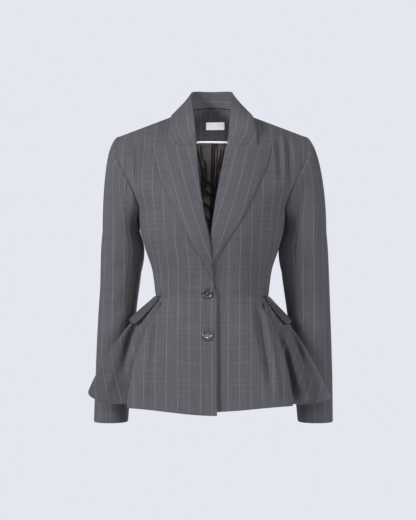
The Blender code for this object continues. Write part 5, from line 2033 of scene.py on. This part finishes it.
@dataclass
class Button:
    """A round four-hole button with a raised rim, sewn on with thread."""

    name: str
    z: float
    seat: float
    out: float = -10.5
    radius: float = 11.5
    thickness: float = 3.6
    hole_radius: float = 1.1
    hole_out: float = 2.4
    thread_radius: float = 0.42
    steps: int = 64
    crisp_from: float = 42.0
    strands: tuple[float, ...] = (-0.5, 0.0, 0.5)
    crossing: float = 0.35
    stitch: Pairs = (
        (-2.55, 0.4), (-2.45, 1.45), (-1.7, 1.95), (0, 2.2), (1.7, 1.95), (2.45, 1.45), (2.55, 0.4))
    profile: Pairs = (
        (0, 1.5), (5.6, 1.5), (6.9, 1.6), (7.7, 2), (8.6, 3.2), (9.2, 3.6), (10.1, 3.6), (10.9, 3.2),
        (11.4, 2.5), (11.5, 1.9), (11.2, 1.2), (10.4, 0.4), (9.4, 0), (0, 0))

    def seat_point(self, z: float) -> Vector:
        """Point of the right front under the button at one height.

        Args:
            z: The height.

        Returns:
            The point.
        """
        if z > BODY.waist_z:
            return BODY.ring_point(BODY.angle_at(-self.out, z), z)
        down = (z - BODY.waist_z) / (RIGHT.folds[0].hem_z - BODY.waist_z)
        fold = RIGHT.folds[FRONT_FOLD].point(down)
        return RIGHT.front_low_point((-self.out - RIGHT.edge) / (fold.x - RIGHT.edge), down)

    def matrix(self) -> Matrix:
        """Where the button sits: its own Z points out of the front.

        Returns:
            The matrix.
        """
        rise = self.seat_point(self.z + self.radius).y - self.seat_point(self.z - self.radius).y
        slope = rise / (2.0 * self.radius)
        place = Vector((self.out, self.seat_point(self.z).y - 0.5 * WALL - self.seat, self.z)) * MM
        return Matrix.Translation(place) @ Matrix.Rotation(math.radians(90.0) - math.atan(slope), 4, "X")

    def body(self) -> bpy.types.Mesh:
        """The button without its holes, spun from its profile.

        Returns:
            The mesh.
        """
        mesh = bmesh.new()
        verts = [mesh.verts.new(Vector((radius, 0.0, height)) * MM) for radius, height in self.profile]
        edges = [mesh.edges.new(pair) for pair in zip(verts, verts[1:])]
        bmesh.ops.spin(mesh, geom=verts + edges, cent=(0.0, 0.0, 0.0), axis=(0.0, 0.0, 1.0),
                       angle=2.0 * math.pi, steps=self.steps, use_merge=True, use_duplicate=False)
        bmesh.ops.remove_doubles(mesh, verts=mesh.verts, dist=0.000002)
        bmesh.ops.recalc_face_normals(mesh, faces=mesh.faces)
        return mesh_of(mesh, self.name)

    def cutter(self) -> bpy.types.Object:
        """The four holes.

        Returns:
            The object that cuts them.
        """
        mesh = bmesh.new()
        for x, y in ((1, 1), (-1, 1), (-1, -1), (1, -1)):
            offset = Vector((x, y, 0.0)).normalized() * self.hole_out * MM
            bmesh.ops.create_cone(mesh, cap_ends=True, segments=20, radius1=self.hole_radius * MM,
                                  radius2=self.hole_radius * MM, depth=4.0 * self.thickness * MM,
                                  matrix=Matrix.Translation(offset))
        return stood("button_holes", mesh_of(mesh, "button_holes"))

    def build(self, looks: Material, thread: Material) -> None:
        """Make the button and its stitches.

        Args:
            looks: The horn.
            thread: The thread.
        """
        blank = stood("button_blank", self.body())
        cutter = self.cutter()
        cut = blank.modifiers.new("holes", "BOOLEAN")
        cut.operation = "DIFFERENCE"
        cut.object = cutter
        done = bpy.data.meshes.new_from_object(blank.evaluated_get(bpy.context.evaluated_depsgraph_get()))
        for spare in (blank, cutter):
            bpy.data.objects.remove(spare, do_unlink=True)
        done.name = f"horn_{self.name}"
        done.transform(self.matrix())
        done.materials.clear()
        done.materials.append(looks)
        done.shade_smooth()
        button = stood(f"horn_{self.name}", done)
        soft = button.modifiers.new("crisp_edges", "EDGE_SPLIT")
        soft.split_angle = math.radians(self.crisp_from)
        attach(button, "root")
        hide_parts(self.name)
        self.sew(thread)
        LOG.info("%s: %d points", button.name, len(done.vertices))

    def sew(self, looks: Material) -> None:
        """Two crossed stitches that dip into the holes.

        Args:
            looks: The thread.
        """
        mesh = bmesh.new()
        for index, (x, y) in enumerate(((1, 1), (-1, 1))):
            way = Vector((x, y, 0.0)).normalized()
            for strand in self.strands:
                aside = Vector((-way.y, way.x, 0.0)) * strand
                stops = [(along, height + (self.crossing * index if along == 0.0 else 0.0))
                         for along, height in self.stitch]
                self.strand(mesh, [way * along + aside + Vector((0.0, 0.0, height)) for along, height in stops])
        data = mesh_of(mesh, f"thread_{self.name}")
        data.transform(self.matrix())
        data.materials.append(looks)
        data.shade_smooth()
        stitches = stood(data.name, data)
        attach(stitches, "root")

    def strand(self, mesh: bmesh.types.BMesh, path: list[Vector]) -> None:
        """A short round strand along a path, its rings bridged and its ends closed.

        Args:
            mesh: The bmesh it is added to.
            path: Its points.
        """
        rings = []
        for index, point in enumerate(path):
            way = (path[min(index + 1, len(path) - 1)] - path[max(index - 1, 0)]).normalized()
            turn = way.to_track_quat("Z", "Y").to_matrix().to_4x4()
            made = bmesh.ops.create_circle(mesh, cap_ends=index in (0, len(path) - 1), segments=8,
                                           radius=self.thread_radius * MM,
                                           matrix=Matrix.Translation(point * MM) @ turn)["verts"]
            rings.append([edge for edge in mesh.edges if edge.verts[0] in made and edge.verts[1] in made])
        for first, second in zip(rings, rings[1:]):
            bmesh.ops.bridge_loops(mesh, edges=first + second)
        bmesh.ops.recalc_face_normals(mesh, faces=mesh.faces)


RIGHT_FRONT_CREASES = (
    Crease((172, 30), (166, -118), -5, 7, bow=3, fade_in=0.3, fade_out=0.35),
    Crease((158, 28), (158, -104), 2.6, 6, bow=2, fade_in=0.3),
    Crease((146, 24), (149, -96), -3, 5.5, fade_in=0.3),
    Crease((132, 20), (141, -110), 1.6, 8),
    Crease((112, -342), (148, -394), -11, 5.5, fade_in=0.2, fade_out=0.3),
    Crease((121, -352), (131, -520), -8, 7.5, bow=-3, fade_in=0.3, fade_out=0.6),
    Crease((130, -390), (150, -570), 2.5, 7, fade_out=0.15),
    Crease((30, -330), (86, -350), -1.2, 5),
    Crease((24, -316), (70, -296), -1.2, 5),
    Crease((60, -400), (74, -580), -1.8, 14, fade_out=0.2),
)
LEFT_FRONT_CREASES = (
    Crease((146, 30), (150, -100), -4.2, 5, bow=2, fade_in=0.3),
    Crease((156, 32), (157, -110), 2.4, 5, fade_in=0.3),
    Crease((167, 30), (165, -120), -5, 6, fade_in=0.3, fade_out=0.3),
    Crease((130, 22), (138, -110), 1.6, 8),
    Crease((110, -344), (146, -396), -11, 5.5, fade_in=0.2, fade_out=0.3),
    Crease((99, -345), (133, -560), -11, 8, bow=2, fade_in=0.2, fade_out=0.4),
    Crease((114, -360), (144, -566), 4.5, 7, fade_out=0.2),
    Crease((20, -326), (70, -342), -1.1, 5),
    Crease((48, -420), (54, -576), -1.8, 14, fade_out=0.2),
)
BACK_CREASES = (
    Crease((30, -318), (104, -300), -2, 8),
    Crease((16, -286), (88, -272), -1.4, 7),
    Crease((150, 6), (146, -118), -3, 9, fade_in=0.3),
    Crease((122, -10), (128, -150), 1.6, 10),
    Crease((62, -60), (58, -250), -1.2, 14),
    Crease((84, -352), (92, -520), -2, 9),
)
RIGHT_FLUTE_CREASES = (
    Crease((164, -368), (196, -520), -13, 9, bow=-4, fade_in=0.2, fade_out=0.5),
    Crease((150, -440), (164, -560), 6, 7, fade_in=0.3, fade_out=0.4),
    Crease((214, -480), (226, -545), 2.5, 8, fade_out=0.2),
)
LEFT_FLUTE_CREASES = (
    Crease((150, -400), (203, -568), 9.5, 8, fade_in=0.3, fade_out=0.1),
    Crease((158, -430), (180, -566), -9, 6, fade_in=0.3, fade_out=0.15),
    Crease((176, -406), (208, -500), -9, 7, fade_out=0.5),
    Crease((214, -474), (232, -552), -3, 8, fade_out=0.2),
)
SLEEVE_CREASES = (
    Crease((70, -40), (104, -168), -2, 12, fade_in=0.4),
    Crease((44, -210), (64, -330), -1.3, 10),
    Crease((92, -250), (60, -300), -2, 9),
    Crease((100, -300), (66, -336), 1.6, 8),
    Crease((96, -352), (50, -396), -1.6, 10),
    Crease((40, -400), (58, -590), 1.2, 14, fade_out=0.2),
    Crease((-40, -230), (-62, -330), -1.8, 10),
    Crease((-70, -290), (-30, -330), -1.8, 9),
    Crease((150, -260), (190, -300), -1.8, 9),
)


@dataclass(frozen=True)
class Side:
    """What the pieces of one side are made with."""

    half: Half
    lean: Pairs
    front: tuple[Crease, ...]
    flute: tuple[Crease, ...]
    lapel_phase: float
    sleeve_phase: float
    slant: float
    flute_phase: float


SIDES = (
    Side(half=RIGHT, front=RIGHT_FRONT_CREASES, flute=RIGHT_FLUTE_CREASES, lapel_phase=-6.3, sleeve_phase=5.2,
         slant=0.34, flute_phase=18.0, lean=(
             (-600, -0.9), (-275, -0.9), (-200, -7.9), (-122, -9.4), (0, -7), (72, -5))),
    Side(half=LEFT, front=LEFT_FRONT_CREASES, flute=LEFT_FLUTE_CREASES, lapel_phase=-5.8, sleeve_phase=1.2,
         slant=0.38, flute_phase=12.0, lean=(
             (-600, -10.2), (-335, -10.4), (-200, -12), (-122, -13.5), (0, -12), (72, -10))),
)
# The flap's wool: the same pinstripe with its ground darkened by about a quarter and its stripe faded, as
# painted shade over the flap.
FLAP_WOOL_PAINTED_SHADE = Pinstripe("wool_flap", ground=(0.038, 0.0365, 0.042), stripe_share=0.25)


@dataclass
class Studio:
    """Plain pale surroundings, soft lights and the camera at the photo's angle."""

    colour: Triple = (0.776, 0.799, 0.871)
    distance: float = 3.2
    lens: float = 100.0
    sensor: float = 36.0
    aim: Triple = (-0.009, 0.0, -0.255)
    floor_z: float = -1.35
    floor_radius: float = 2.6
    ambient: float = 0.05
    lights: tuple[tuple[str, Triple, float, float], ...] = (
        ("key", (-2.7, -1.9, 1.1), 0.8, 208.0), ("fill", (2.7, -2.1, 0.7), 1.2, 102.0),
        ("front", (0.2, -3.4, 1.3), 0.6, 44.0), ("rear", (0.9, 3.0, 1.2), 1.6, 170.0))
    neck_place: Triple = (0.0, -3.1, 0.42)
    neck_aim: Triple = (0.006, 0.05, 0.026)
    neck_power: float = 330.0
    neck_cone: float = 3.0
    neck_size: float = 0.05

    def build(self) -> None:
        """Make the floor, the light and the camera."""
        self.surroundings()
        bpy.context.scene.view_settings.view_transform = "Standard"
        self.floor()
        for name, place, size, power in self.lights:
            data = bpy.data.lights.new(name, "AREA")
            data.size = size
            self.lamp(data, Vector(place), Vector(self.aim), power)
        neck = bpy.data.lights.new("neck", "SPOT")
        neck.spot_size = math.radians(self.neck_cone)
        neck.spot_blend = 1.0
        neck.shadow_soft_size = self.neck_size
        self.lamp(neck, Vector(self.neck_place), Vector(self.neck_aim), self.neck_power)
        camera = bpy.data.cameras.new("camera")
        camera.lens = self.lens
        camera.sensor_width = self.sensor
        seat = stood("camera", camera)
        seat.location = Vector(self.aim) + Vector((0.0, -self.distance, 0.0))
        seat.rotation_euler = (math.radians(90.0), 0.0, 0.0)
        bpy.context.scene.camera = seat

    def surroundings(self) -> None:
        """A pale backdrop all round, which lights the jacket less than it shows."""
        world = bpy.data.worlds.new("studio")
        bpy.context.scene.world = world
        world.use_nodes = True
        tree = world.node_tree
        shown = tree.nodes["Background"]
        shown.inputs["Color"].default_value = (*self.colour, 1.0)
        lit = tree.nodes.new("ShaderNodeBackground")
        lit.inputs["Color"].default_value = (1.0, 1.0, 1.0, 1.0)
        lit.inputs["Strength"].default_value = self.ambient
        choice = tree.nodes.new("ShaderNodeMixShader")
        tree.links.new(tree.nodes.new("ShaderNodeLightPath").outputs["Is Camera Ray"], choice.inputs["Fac"])
        tree.links.new(lit.outputs["Background"], choice.inputs[1])
        tree.links.new(shown.outputs["Background"], choice.inputs[2])
        tree.links.new(choice.outputs["Shader"], tree.nodes["World Output"].inputs["Surface"])

    def floor(self) -> None:
        """A round pale floor, far below the jacket."""
        mesh = bmesh.new()
        bmesh.ops.create_circle(mesh, cap_ends=True, segments=96, radius=self.floor_radius,
                                matrix=Matrix.Translation((0.0, 0.0, self.floor_z)))
        data = mesh_of(mesh, "floor")
        graph = Graph("floor_pale")
        place = graph.node("ShaderNodeTexCoord").outputs["Object"]
        grain = graph.node("ShaderNodeTexNoise", values={"Vector": place, "Scale": 3.0, "Detail": 2.0})
        shade = Signal(graph, grain.outputs["Fac"]) * 0.02 + 0.99
        graph.set(base_color=graph.scaled((*self.colour,), shade), roughness=0.9)
        data.materials.append(graph.material)
        floor = stood("floor", data)

    @staticmethod
    def lamp(data: bpy.types.Light, place: Vector, aim: Vector, power: float) -> None:
        """Stand a light at a place, turned to what it lights.

        Args:
            data: The light.
            place: Where it stands.
            aim: What it lights.
            power: Its power in watts.
        """
        data.energy = power
        lamp = stood(data.name, data)
        lamp.location = place
        lamp.rotation_euler = (aim - place).to_track_quat("-Z", "Y").to_euler()


def main() -> None:
    """Build the jacket's pieces in order, then the studio."""
    logging.basicConfig(level=logging.INFO, format="%(message)s")
    wool = Pinstripe().material()
    # The flap's wool, darkened as painted shade.
    painted_shade_wool = FLAP_WOOL_PAINTED_SHADE.material()
    satin = WhiteSatin().material()
    lining = SatinLining().material()
    horn = Horn().material()
    thread = Thread().material()
    for side in SIDES:
        half = side.half
        FrontPanel(half, side.front, side.lean).build(wool)
        SideBody(half).build(wool)
        BackPanel(half, BACK_CREASES).build(wool)
        SidePeplum(half, side.flute, slant=side.slant, phase=side.flute_phase).build(wool)
        Flap(half).build(painted_shade_wool)
        Sleeves(half, SLEEVE_CREASES, phase=side.sleeve_phase).build(wool)
        Lapel(half, side.lapel_phase).build(wool)
    Collar().build(wool)
    NeckInside().build(wool, satin, lining)
    Button("button_top", -327.0, 1.1).build(horn, thread)
    Button("button_lower", -417.0, 0.35).build(horn, thread)
    Studio().build()


if __name__ == "__main__":
    main()
